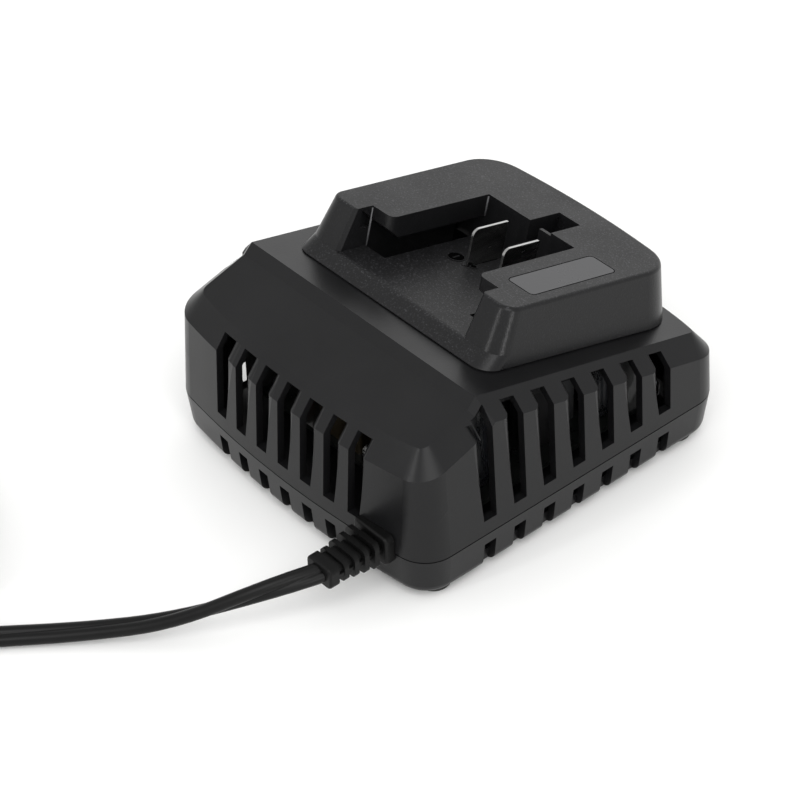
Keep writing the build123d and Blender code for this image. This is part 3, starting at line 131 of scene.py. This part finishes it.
def coilPoints():
    # each turn keeps its lane and steps over to the next one near its end
    spacing = 1 / cord["pointsPerTurn"]
    # the spline runs inside its control points by this share of the radius
    shrink = 0.75 + 0.25 * math.cos(2 * math.pi * spacing)
    centreX, centreY = cord["coilCentre"]
    lanes = cord["lanes"]
    points = []
    for index in range(int(cord["coilTurns"] * cord["pointsPerTurn"]) + 1):
        turn = index * spacing
        lane = min(int(turn), len(lanes) - 1)
        following = min(lane + 1, len(lanes) - 1)
        share = min(max(1 - (lane + 1 - turn) / cord["laneBlend"], 0), 1)
        share = share * share * (3 - 2 * share)  # eases in and out
        (ring, layer), (nextRing, nextLayer) = lanes[lane], lanes[following]
        radius = cord["coilRadii"][ring] * (1 - share) + cord["coilRadii"][nextRing] * share
        height = cord["coilBase"] + cord["coilPitch"] * (layer * (1 - share) + nextLayer * share)
        angle = math.radians(cord["coilStart"] - 360 * turn)
        across, along = math.cos(angle) * radius / shrink, math.sin(angle) * radius / shrink
        points.append((centreX + across, centreY + along, height))
    return points


def cordProfile():
    # two round cores side by side, a groove between them: thickness across, width upward
    lobe = cord["thickness"] / 2
    offset = cord["width"] / 2 - lobe
    half = math.acos(-offset / lobe)
    steps = cord["lobeSteps"]
    data = bpy.data.curves.new("cordProfile", "CURVE")
    spline = data.splines.new("POLY")
    spline.points.add(4 * steps - 1)
    for index, knot in enumerate(spline.points):
        side = 1 if index < 2 * steps else -1
        angle = half * (index % (2 * steps) / steps - 1)
        across = -lobe * math.sin(angle)
        upward = offset + lobe * math.cos(angle)
        knot.co = (side * across, side * upward, 0, 1)
    spline.use_cyclic_u = True
    return bpy.data.objects.new("cordProfile", data)


def addCord():
    coil = coilPoints()
    points = cord["run"] + coil + cord["tail"]
    tilts = cord["runTilt"] + [cord["coilTilt"]] * len(coil) + cord["tailTilt"]
    data = bpy.data.curves.new("mainsCord", "CURVE")
    data.dimensions = "3D"
    data.twist_mode = "Z_UP"
    data.fill_mode = "FULL"
    data.resolution_u = cord["smoothness"]
    data.bevel_mode = "OBJECT"
    data.bevel_object = cordProfile()
    spline = data.splines.new("NURBS")
    spline.points.add(len(points) - 1)
    for knot, place, tilt in zip(spline.points, points, tilts):
        knot.co = (*mm(*place), 1)
        knot.tilt = math.radians(tilt)
        knot.radius = 0.001  # the profile is drawn in millimetres
    spline.order_u = 3
    spline.use_endpoint_u = True
    piece = bpy.data.objects.new("mainsCord", data)
    scene.collection.objects.link(piece)
    return piece


mainsCord = addCord()
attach(mainsCord, "root")
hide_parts("mains_cord", "cord_coil", "cord_tail")
print("cord laid")


def hexLinear(code):
    # sRGB hex to linear red, green, blue and full alpha
    channels = [int(code[index : index + 2], 16) / 255 for index in (0, 2, 4)]
    return [c / 12.92 if c <= 0.04045 else ((c + 0.055) / 1.055) ** 2.4 for c in channels] + [1.0]


def addNode(tree, kind, settings=None, links=None):
    # one shader node with its settings and the sockets that feed it
    node = tree.nodes.new(kind)
    for name, value in (settings or {}).items():
        if isinstance(name, int) or name in node.inputs:
            node.inputs[name].default_value = value
        else:
            setattr(node, name, value)
    for name, source in (links or {}).items():
        tree.links.new(source, node.inputs[name])
    return node


def perMm(size):
    # noise scale that gives a feature of this many millimetres
    return 1000 / size


# noise sits round a half, so each pattern is read over the part of it that counts
pattern = {
    "patches": {"Detail": 4.0, "Roughness": 0.6},
    "grain": {"Detail": 2.0, "Roughness": 0.55},
    "patchSpan": {"From Min": 0.3, "From Max": 0.7},
    "speckSpan": {"From Min": 0.55, "From Max": 0.75},
    # from a slope to a face that looks straight up
    "upwardSpan": {"From Min": 0.75, "From Max": 0.95},
    "speckFade": 4.0,
}


def finish(look):
    # two close colours in soft patches, roughness that follows them, and a grain in the relief
    material = bpy.data.materials.new(look["name"])
    material.use_nodes = True
    tree = material.node_tree
    shader = tree.nodes["Principled BSDF"]
    place = addNode(tree, "ShaderNodeTexCoord").outputs["Object"]
    if "stretch" in look:
        stretch = {"Scale": look["stretch"]}
        place = addNode(tree, "ShaderNodeMapping", stretch, {"Vector": place}).outputs["Vector"]
    patches, grain = (
        addNode(
            tree,
            "ShaderNodeTexNoise",
            {"Scale": perMm(look[size]), **pattern[kind]},
            {"Vector": place},
        ).outputs["Fac"]
        for size, kind in (("patch", "patches"), ("grain", "grain"))
    )
    tint = addNode(
        tree,
        "ShaderNodeMapRange",
        {**pattern["patchSpan"], "To Min": 0.0, "To Max": 1.0},
        {"Value": patches},
    ).outputs["Result"]
    colour = addNode(
        tree,
        "ShaderNodeMixRGB",
        {"Color1": hexLinear(look["dark"]), "Color2": hexLinear(look["light"])},
        {"Fac": tint},
    ).outputs["Color"]
    rough = addNode(
        tree,
        "ShaderNodeMapRange",
        {**pattern["patchSpan"], "To Min": look["rough"][0], "To Max": look["rough"][1]},
        {"Value": patches},
    ).outputs["Result"]
    if "speck" in look:
        specks = addNode(
            tree,
            "ShaderNodeMapRange",
            {**pattern["speckSpan"], "To Min": 0.0, "To Max": look["speckShare"]},
            {"Value": grain},
        ).outputs["Result"]
        if "sideShare" in look:
            # the sides of the mould are smoother, so less roughness there; the painted glint
            # specks fade on the sides too, as less light falls on them
            normal = addNode(tree, "ShaderNodeNewGeometry").outputs["Normal"]
            facing = addNode(tree, "ShaderNodeSeparateXYZ", None, {"Vector": normal}).outputs["Z"]
            upwardRoughAndGlint = addNode(
                tree,
                "ShaderNodeMapRange",
                {**pattern["upwardSpan"], "To Min": look["sideShare"], "To Max": 1.0},
                {"Value": facing},
            ).outputs["Result"]
            power = {"operation": "POWER", 1: pattern["speckFade"]}
            fade = addNode(tree, "ShaderNodeMath", power, {0: upwardRoughAndGlint}).outputs["Value"]
            times = {"operation": "MULTIPLY"}
            specks, rough = (
                addNode(tree, "ShaderNodeMath", times, {0: value, 1: share}).outputs["Value"]
                for value, share in ((specks, fade), (rough, upwardRoughAndGlint))
            )
        # pale specks mixed into the colour: painted glints on the dock, real pale grains on the
        # other finishes
        colour = addNode(
            tree,
            "ShaderNodeMixRGB",
            {"Color2": hexLinear(look["speck"])},
            {"Fac": specks, "Color1": colour},
        ).outputs["Color"]
    tree.links.new(colour, shader.inputs["Base Color"])
    tree.links.new(rough, shader.inputs["Roughness"])
    relief = addNode(
        tree,
        "ShaderNodeBump",
        {"Strength": look["bump"], "Distance": look["depth"] / 1000},
        {"Height": grain},
    ).outputs["Normal"]
    tree.links.new(relief, shader.inputs["Normal"])
    for socket, value in look.get("shader", {}).items():
        shader.inputs[socket].default_value = value
    return material


# patch and grain are widths in millimetres, depth is the grain's height. What is finer than
# 0.2 mm on the real piece, such as grit, rolling lines and fibre ends, is drawn that coarse or
# coarser, because it wouldn't show otherwise
looks = {
    # injection moulded ABS, spark eroded mould: near black, satin, fine leathery grain
    "black_case": {
        "name": "mouldedAbs",
        "dark": "0f0f10",
        "light": "131314",
        "patch": 22,
        "grain": 0.55,
        "rough": (0.3, 0.37),
        "bump": 0.3,
        "depth": 0.06,
        "shader": {"IOR": 1.53, "Specular IOR Level": 0.2},
    },
    # the dock's mould is grit blasted; the glints off its sand are painted as pale specks in the
    # colour, drawn about four times too coarse so that they show, strongest on faces that look up
    "black_dock": {
        "name": "sandedAbsWithGlints",
        "dark": "111112",
        "light": "141415",
        "speck": "4e4e51",
        "speckShare": 0.7,
        "sideShare": 0.6,
        "patch": 18,
        "grain": 0.5,
        "rough": (0.44, 0.52),
        "bump": 0.45,
        "depth": 0.08,
        "shader": {"IOR": 1.53, "Specular IOR Level": 0.2},
    },
    # smoked acrylic over the lights: flat, even grey with a soft shine
    "grey_window": {
        "name": "smokedAcrylic",
        "dark": "2e2e30",
        "light": "313133",
        "patch": 12,
        "grain": 0.3,
        "rough": (0.26, 0.3),
        "bump": 0.03,
        "depth": 0.02,
        "shader": {"IOR": 1.49, "Specular IOR Level": 0.24},
    },
    # glass filled PBT: dull with pale fibre ends
    "terminal_plastic": {
        "name": "filledPbt",
        "dark": "1f1f1f",
        "light": "262625",
        "speck": "4a4a48",
        "speckShare": 0.3,
        "patch": 6,
        "grain": 0.3,
        "rough": (0.5, 0.6),
        "bump": 0.2,
        "depth": 0.03,
        "shader": {"IOR": 1.57},
    },
    # nickel plated brass strip: neutral silver, fine lines along the roll
    "nickel": {
        "name": "platedBrass",
        "dark": "8f8f8e",
        "light": "adadac",
        "stretch": (1, 0.06, 1),
        "patch": 3,
        "grain": 0.2,
        "rough": (0.2, 0.32),
        "bump": 0.08,
        "depth": 0.01,
        "shader": {"Metallic": 1.0},
    },
    # FR4 laminate under black solder mask: glassy, a faint weave below
    "circuit_board": {
        "name": "solderMask",
        "dark": "101211",
        "light": "171a18",
        "patch": 4,
        "grain": 0.6,
        "rough": (0.25, 0.38),
        "bump": 0.12,
        "depth": 0.03,
        "shader": {"IOR": 1.55, "Coat Weight": 0.3},
    },
    # drawn soda glass: clear, bright edges
    "fuse_glass": {
        "name": "sodaGlass",
        "dark": "eef4f1",
        "light": "f6faf8",
        "patch": 5,
        "grain": 1.0,
        "rough": (0.01, 0.03),
        "bump": 0.02,
        "depth": 0.01,
        "shader": {"IOR": 1.52, "Transmission Weight": 0.9},
    },
    # filled polyester case of a film capacitor: smooth, its ochre painted nearly black as painted
    # shade for the dark inside of the case
    "yellow_film": {
        "name": "ochrePolyester",
        "dark": "1d170a",
        "light": "251e0e",
        "patch": 7,
        "grain": 0.4,
        "rough": (0.32, 0.42),
        "bump": 0.08,
        "depth": 0.02,
        "shader": {"IOR": 1.55},
    },
    # sintered ferrite: dark grey stone with a dull polish
    "ferrite": {
        "name": "sinteredFerrite",
        "dark": "2a2928",
        "light": "393736",
        "speck": "5a5856",
        "speckShare": 0.4,
        "patch": 2.5,
        "grain": 0.25,
        "rough": (0.5, 0.65),
        "bump": 0.25,
        "depth": 0.02,
        "shader": {"IOR": 1.9},
    },
    # enamelled copper wire: orange metal under clear lacquer, its colour painted far darker as
    # painted shade for the inside of the case
    "copper_wire": {
        "name": "enamelledCopper",
        "dark": "5a2c17",
        "light": "743d20",
        "patch": 2,
        "grain": 0.4,
        "rough": (0.22, 0.34),
        "bump": 0.1,
        "depth": 0.02,
        "shader": {"Metallic": 1.0, "Coat Weight": 0.5},
    },
    # moulded epoxy: matt black with a sandy skin
    "black_moulding": {
        "name": "mouldedEpoxy",
        "dark": "171718",
        "light": "1f1f20",
        "patch": 3,
        "grain": 0.2,
        "rough": (0.55, 0.68),
        "bump": 0.3,
        "depth": 0.02,
        "shader": {"IOR": 1.55},
    },
    # shrunk PVC sleeve: smooth black with long folds
    "capacitor_sleeve": {
        "name": "shrinkSleeve",
        "dark": "121315",
        "light": "191b1f",
        "stretch": (1, 1, 0.2),
        "patch": 3,
        "grain": 1.2,
        "rough": (0.22, 0.34),
        "bump": 0.12,
        "depth": 0.05,
        "shader": {"IOR": 1.54},
    },
    # extruded aluminium, black anodised: dull dark metal with die lines up the fins
    "heatsink_metal": {
        "name": "anodisedAluminium",
        "dark": "151516",
        "light": "1c1c1d",
        "stretch": (1, 1, 0.04),
        "patch": 2,
        "grain": 0.25,
        "rough": (0.3, 0.42),
        "bump": 0.15,
        "depth": 0.01,
        "shader": {"Specular IOR Level": 0.3},
    },
    # phenolic bobbin: brown black, semi gloss
    "bobbin_plastic": {
        "name": "mouldedPhenolic",
        "dark": "241d18",
        "light": "2f2620",
        "patch": 5,
        "grain": 0.3,
        "rough": (0.35, 0.48),
        "bump": 0.15,
        "depth": 0.02,
        "shader": {"IOR": 1.6},
    },
    # polyester film tape: glossy black with the wire showing as soft ridges
    "winding_tape": {
        "name": "polyesterTape",
        "dark": "1a1a19",
        "light": "232322",
        "stretch": (0.15, 0.15, 1),
        "patch": 2.5,
        "grain": 0.9,
        "rough": (0.2, 0.32),
        "bump": 0.3,
        "depth": 0.06,
        "shader": {"IOR": 1.6},
    },
    # lacquered ceramic disc: blue, thick and shiny, its blue painted far darker as painted shade
    # for the inside of the case
    "blue_ceramic": {
        "name": "lacqueredCeramic",
        "dark": "11213a",
        "light": "172b49",
        "patch": 2,
        "grain": 0.6,
        "rough": (0.18, 0.3),
        "bump": 0.15,
        "depth": 0.05,
        "shader": {"IOR": 1.55, "Coat Weight": 0.4},
    },
    # PVC wire covering: dark, slightly waxy
    "lead_insulation": {
        "name": "wirePvc",
        "dark": "2a1413",
        "light": "351918",
        "patch": 3,
        "grain": 0.4,
        "rough": (0.35, 0.45),
        "bump": 0.1,
        "depth": 0.02,
        "shader": {"IOR": 1.53},
    },
    # cast epoxy lens: milky and glossy
    "led_lens": {
        "name": "castEpoxyLens",
        "dark": "c9d6c9",
        "light": "d9e4d8",
        "patch": 2,
        "grain": 0.5,
        "rough": (0.08, 0.14),
        "bump": 0.03,
        "depth": 0.01,
        "shader": {"IOR": 1.55, "Transmission Weight": 0.5},
    },
    # flat ribbon cable: grey PVC painted dark grey as painted shade for the inside of the case,
    # one ridge to each core
    "ribbon": {
        "name": "ribbonPvc",
        "dark": "2b2c2d",
        "light": "353637",
        "stretch": (1, 1, 0.05),
        "patch": 1.3,
        "grain": 1.3,
        "rough": (0.38, 0.48),
        "bump": 0.4,
        "depth": 0.1,
        "shader": {"IOR": 1.53},
    },
    # zinc plated steel: cool silver with a cloudy passivation
    "screw_steel": {
        "name": "zincPlatedSteel",
        "dark": "9fa3a8",
        "light": "bfc3c6",
        "patch": 1.5,
        "grain": 0.2,
        "rough": (0.28, 0.42),
        "bump": 0.15,
        "depth": 0.01,
        "shader": {"Metallic": 1.0},
    },
    # moulded rubber foot: soft black, dusty
    "foot_rubber": {
        "name": "footRubber",
        "dark": "171717",
        "light": "222221",
        "patch": 2,
        "grain": 0.25,
        "rough": (0.75, 0.9),
        "bump": 0.3,
        "depth": 0.03,
        "shader": {"IOR": 1.52},
    },
    # moulded soft PVC of the relief: black with a greasy sheen
    "relief_rubber": {
        "name": "softPvcRelief",
        "dark": "0a0a0a",
        "light": "0e0e0e",
        "patch": 4,
        "grain": 0.4,
        "rough": (0.36, 0.46),
        "bump": 0.15,
        "depth": 0.04,
        "shader": {"IOR": 1.53, "Specular IOR Level": 0.12},
    },
    # extruded PVC cord: smooth black with faint drag lines and a soft shine
    "cord_jacket": {
        "name": "cordPvc",
        "dark": "080808",
        "light": "0c0c0c",
        "patch": 9,
        "grain": 0.8,
        "rough": (0.33, 0.42),
        "bump": 0.1,
        "depth": 0.03,
        "shader": {"IOR": 1.53, "Specular IOR Level": 0.16},
    },
    # woven nylon strap: black threads with a faint fuzz
    "tie": {
        "name": "wovenNylon",
        "dark": "121213",
        "light": "262628",
        "patch": 0.9,
        "grain": 0.5,
        "rough": (0.7, 0.85),
        "bump": 0.6,
        "depth": 0.12,
        "shader": {"Sheen Weight": 0.3},
    },
    # moulded PVC plug: black, semi gloss with a fine grain
    "plug_plastic": {
        "name": "plugPvc",
        "dark": "1c1c1d",
        "light": "232324",
        "patch": 8,
        "grain": 0.45,
        "rough": (0.38, 0.48),
        "bump": 0.16,
        "depth": 0.04,
        "shader": {"IOR": 1.53},
    },
}
materials = {slot: finish(look) for slot, look in looks.items()}

# variants of those finishes for the small mouldings
variants = {
    # painted shade: the blackest ABS, no shine, for the shade in the engraved hollows and the
    # window seam
    "recess": dict(
        looks["foot_rubber"],
        name="paintedShadeAbs",
        dark="040404",
        light="070707",
        bump=0.1,
        shader={"IOR": 1.53, "Specular IOR Level": 0.0},
    ),
    # painted highlight: ABS painted light grey, for the light that the thin edges catch
    "edge": dict(
        looks["black_dock"],
        name="edgeHighlightAbs",
        dark="4a4a4b",
        light="606062",
        rough=(0.3, 0.36),
        bump=0.1,
    ),
    # vulcanised fibre, black: dull and slightly mottled
    "card": dict(
        looks["foot_rubber"], name="fishPaper", dark="131312", light="1a1a18", patch=6
    ),
}
materials.update({use: finish(look) for use, look in variants.items()})


def dress(piece, material):
    # the object's own slots carry the finish, its mesh stays as it came
    for slot in piece.material_slots:
        slot.link = "OBJECT"
        slot.material = material


for row in frame["record"]["subparts"]:
    dress(nodes[row["node"]], materials[row["material_slot"]])
mainsCord.data.materials.append(materials["cord_jacket"])
print("finishes given:", len(materials))

# the dock's own plane, which tips back: heights are over the plateau, millimetres and degrees
dock = {
    "tilt": 14.5,
    "plateau": 48.15,
    "top": 16.5,
    "slotFloor": 4.0,
    "lipBottom": 9.7,
    "mouthSide": 25.7,
    "railFront": -8.1,
    "slotSide": 17.5,
    "slotRear": 29.2,
}


def onDock(x, y, rise):
    # a place in the dock's plane, millimetres, to the world in metres
    tilt = math.radians(dock["tilt"])
    return mm(
        x,
        y * math.cos(tilt) + rise * math.sin(tilt),
        dock["plateau"] + rise * math.cos(tilt) - y * math.sin(tilt),
    )


def turns(count):
    # equal steps round a circle, radians
    return [2 * math.pi * k / count for k in range(count)]


def circle(centre, radius, count=36):
    x, y = centre
    return [(x + radius * math.cos(turn), y + radius * math.sin(turn)) for turn in turns(count)]


def roundedBox(low, high, radius, steps=6):
    # corners counted round from the right rear one
    corners = [
        (high[0] - radius, high[1] - radius),
        (low[0] + radius, high[1] - radius),
        (low[0] + radius, low[1] + radius),
        (high[0] - radius, low[1] + radius),
    ]
    points = []
    for index, (x, y) in enumerate(corners):
        for step in range(steps + 1):
            angle = math.radians(90 * (index + step / steps))
            points.append((x + radius * math.cos(angle), y + radius * math.sin(angle)))
    return points


def addBand(mesh, first, second):
    # faces from one ring of points to another with as many
    count = len(first)
    for k in range(count):
        after = (k + 1) % count
        mesh.faces.new([first[k], first[after], second[after], second[k]])


def addRing(mesh, places):
    return [mesh.verts.new(place) for place in places]


def addBody(mesh, first, second):
    # closed body between two rings
    addBand(mesh, first, second)
    mesh.faces.new(first)
    mesh.faces.new(second)


def addPlate(mesh, outer, low, high, inner=None):
    # closed plate in the dock's plane, or a frame round a hole with as many points
    bottom, top = (addRing(mesh, [onDock(x, y, rise) for x, y in outer]) for rise in (low, high))
    if not inner:
        addBody(mesh, bottom, top)
        return
    under, over = (addRing(mesh, [onDock(x, y, rise) for x, y in inner]) for rise in (low, high))
    for first, second in ((bottom, top), (top, over), (over, under), (under, bottom)):
        addBand(mesh, first, second)


def addBead(mesh, foot, head, radius, sides=10):
    # round bead between two places, its ends closed
    axis = (head - foot).normalized()
    across = axis.orthogonal().normalized()
    beside = axis.cross(across)
    spokes = [across * math.cos(turn) + beside * math.sin(turn) for turn in turns(sides)]
    loops = [addRing(mesh, [place + spoke * radius for spoke in spokes]) for place in (foot, head)]
    addBody(mesh, *loops)


def meshPiece(name, build, material, smooth=False):
    # a piece of the charger from a mesh that build fills
    mesh = bmesh.new()
    build(mesh)
    bmesh.ops.recalc_face_normals(mesh, faces=mesh.faces[:])
    data = bpy.data.meshes.new(name)
    mesh.to_mesh(data)
    mesh.free()
    for face in data.polygons:
        face.use_smooth = smooth
    data.materials.append(material)
    piece = bpy.data.objects.new(name, data)
    scene.collection.objects.link(piece)
    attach(piece, "root")
    return piece


# moulded signs on the slot floor: minus in a ring, plus, a locating dot, and a score line drawn
# only as painted shade
signs = {
    "ringCentre": (-9.5, 11.9),
    "ringRadius": 2.75,
    "rim": 0.4,
    "dash": (1.3, 0.28),  # half its length and half its width
    "plusCentre": (-4.9, 10.6),
    "plusArm": 0.85,
    "dotCentre": (-2.8, 12.5),
    "dotRadius": 1.25,
    "shadeLineFrom": (-3.75, 16.6),
    "shadeLineTo": (-3.4, 22.6),
    "shadeLineRound": 0.15,
    "barRound": 0.8,
    "rise": 0.16,
    "film": 0.04,
}


def addBar(mesh, centre, reach, low, high):
    # bar with rounded ends: reach is half its width and half its length
    x, y = centre
    corner = min(reach) * signs["barRound"]
    outline = roundedBox((x - reach[0], y - reach[1]), (x + reach[0], y + reach[1]), corner)
    addPlate(mesh, outline, low, high)


def addRim(mesh, centre, radius, low, high):
    # ring that stands on the floor
    inside = circle(centre, radius - signs["rim"])
    addPlate(mesh, circle(centre, radius), low, high, inside)


def raisedSigns(mesh):
    low, high = dock["slotFloor"], dock["slotFloor"] + signs["rise"]
    length, width = signs["dash"]
    arm = signs["plusArm"]
    addRim(mesh, signs["ringCentre"], signs["ringRadius"], low, high)
    addBar(mesh, signs["ringCentre"], (width, length), low, high)
    addBar(mesh, signs["plusCentre"], (width, arm), low, high)
    # the other arm stands a film higher, so that their faces don't fall together
    addBar(mesh, signs["plusCentre"], (arm, width), low, high + signs["film"])
    addRim(mesh, signs["dotCentre"], signs["dotRadius"], low, high)


def shadeFields(mesh):
    # painted shade: black film inside the rings, its edge under their rims, and the score line,
    # for the shade in those hollows
    low, high = dock["slotFloor"], dock["slotFloor"] + signs["film"]
    for field in ("ring", "dot"):
        radius = signs[field + "Radius"] - signs["rim"] / 2
        addPlate(mesh, circle(signs[field + "Centre"], radius), low, high)
    shadeLine = roundedBox(signs["shadeLineFrom"], signs["shadeLineTo"], signs["shadeLineRound"])
    addPlate(mesh, shadeLine, low, high)


# hairline seam round the indicator window, a black ring of painted shade for the gap
seam = {"low": (22.9, -2.3), "high": (32.8, 30.4), "corner": 1.5, "width": 0.2, "rise": 0.03}


def windowSeam(mesh):
    (left, front), (right, rear) = seam["low"], seam["high"]
    wide = seam["width"]
    inner = roundedBox(seam["low"], seam["high"], seam["corner"])
    outer = roundedBox(
        (left - wide, front - wide), (right + wide, rear + wide), seam["corner"] + wide
    )
    addPlate(mesh, outer, dock["top"] - seam["rise"], dock["top"] + seam["rise"], inner)


# thin moulding beads up the mouth's rear edges and the slot's rear corners, light grey as a
# painted highlight along those edges
beads = {"radius": 0.28, "inset": 0.1, "clear": 0.6}


def edgeHighlightBeads(mesh):
    inset = beads["inset"]
    top = dock["top"] - beads["clear"]
    # half the gap between the two beads, their place along the dock and their foot
    edges = (
        (dock["mouthSide"] - inset, dock["railFront"] + inset, dock["slotFloor"]),
        (dock["slotSide"] - inset, dock["slotRear"] - inset, dock["lipBottom"]),
    )
    for side in (-1, 1):
        for x, y, foot in edges:
            ends = onDock(side * x, y, foot), onDock(side * x, y, top)
            addBead(mesh, *ends, beads["radius"] / 1000)


# insulating card on the board's edge, between the live parts and the left vents; its outline
# is y and z, and it leans out over the board's front
card = {
    "x": -39.2,
    "thickness": 0.4,
    "outline": [
        (-36.6, 11.0),
        (-41.1, 13.0),
        (-41.1, 27.0),
        (-38.0, 31.0),
        (-22.0, 31.0),
        (-22.0, 11.0),
    ],
}


def insulationCard(mesh):
    half = card["thickness"] / 2
    left, right = (
        addRing(mesh, [mm(card["x"] + shift, y, z) for y, z in card["outline"]])
        for shift in (-half, half)
    )
    addBody(mesh, left, right)


meshPiece("insulationCard", insulationCard, materials["card"])
meshPiece("raisedSigns", raisedSigns, materials["black_dock"])
meshPiece("shadeFields", shadeFields, materials["recess"])
# the seam ring is painted shade of the gap round the window
meshPiece("windowSeam", windowSeam, materials["recess"])
# the beads carry the painted edge highlight
meshPiece("edgeHighlightBeads", edgeHighlightBeads, materials["edge"], smooth=True)
print("small mouldings added")

# studio: pale table, a broad soft light overhead and softer ones round the sides; metres
studio = {
    "floorSize": 6.0,
    "floorDark": "f2f2f1",
    "floorLight": "f6f6f5",
    "cloud": 400,
    "floorRough": 0.9,
    "floorGloss": 0.1,
    "world": 0.97,
    "aim": (0, 0, 0.03),
    "lamps": [
        # name, place, size across and up, watts
        ("overhead", (0.9, -0.7, 1.5), 1.2, 1.2, 14.0),
        ("rearLeft", (-1.1, 1.4, 0.6), 1.6, 1.1, 4.0),
        ("stripFront", (-0.12, -1.2, 0.55), 0.1, 0.6, 2.6),
        ("stripRight", (1.27, -0.3, 0.26), 0.1, 0.5, 2.6),
    ],
}


def addStudio():
    half = studio["floorSize"] / 2
    corners = [(-half, -half, 0), (half, -half, 0), (half, half, 0), (-half, half, 0)]
    sheet = bpy.data.meshes.new("floor")
    sheet.from_pydata(corners, [], [(0, 1, 2, 3)])
    floor = bpy.data.objects.new("floor", sheet)
    scene.collection.objects.link(floor)
    paint = bpy.data.materials.new("paleBoard")
    paint.use_nodes = True
    tree = paint.node_tree
    shader = tree.nodes["Principled BSDF"]
    place = addNode(tree, "ShaderNodeTexCoord").outputs["Object"]
    cloud = addNode(
        tree, "ShaderNodeTexNoise", {"Scale": perMm(studio["cloud"])}, {"Vector": place}
    ).outputs["Fac"]
    shade = addNode(
        tree,
        "ShaderNodeMixRGB",
        {"Color1": hexLinear(studio["floorDark"]), "Color2": hexLinear(studio["floorLight"])},
        {"Fac": cloud},
    ).outputs["Color"]
    tree.links.new(shade, shader.inputs["Base Color"])
    shader.inputs["Roughness"].default_value = studio["floorRough"]
    shader.inputs["Specular IOR Level"].default_value = studio["floorGloss"]
    sheet.materials.append(paint)
    world = bpy.data.worlds.new("studio")
    world.use_nodes = True
    sky = world.node_tree.nodes["Background"]
    sky.inputs["Color"].default_value = (1, 1, 1, 1)
    sky.inputs["Strength"].default_value = studio["world"]
    scene.world = world
    for name, place, across, upward, watts in studio["lamps"]:
        data = bpy.data.lights.new(name, "AREA")
        data.shape = "RECTANGLE"
        data.size = across
        data.size_y = upward
        data.energy = watts
        lamp = bpy.data.objects.new(name, data)
        scene.collection.objects.link(lamp)
        lamp.location = place
        aim = Vector(studio["aim"]) - Vector(place)
        lamp.rotation_euler = aim.to_track_quat("-Z", "Y").to_euler()
    scene.view_settings.view_transform = "Standard"
    scene.view_settings.look = "None"


addStudio()
print("studio lit")
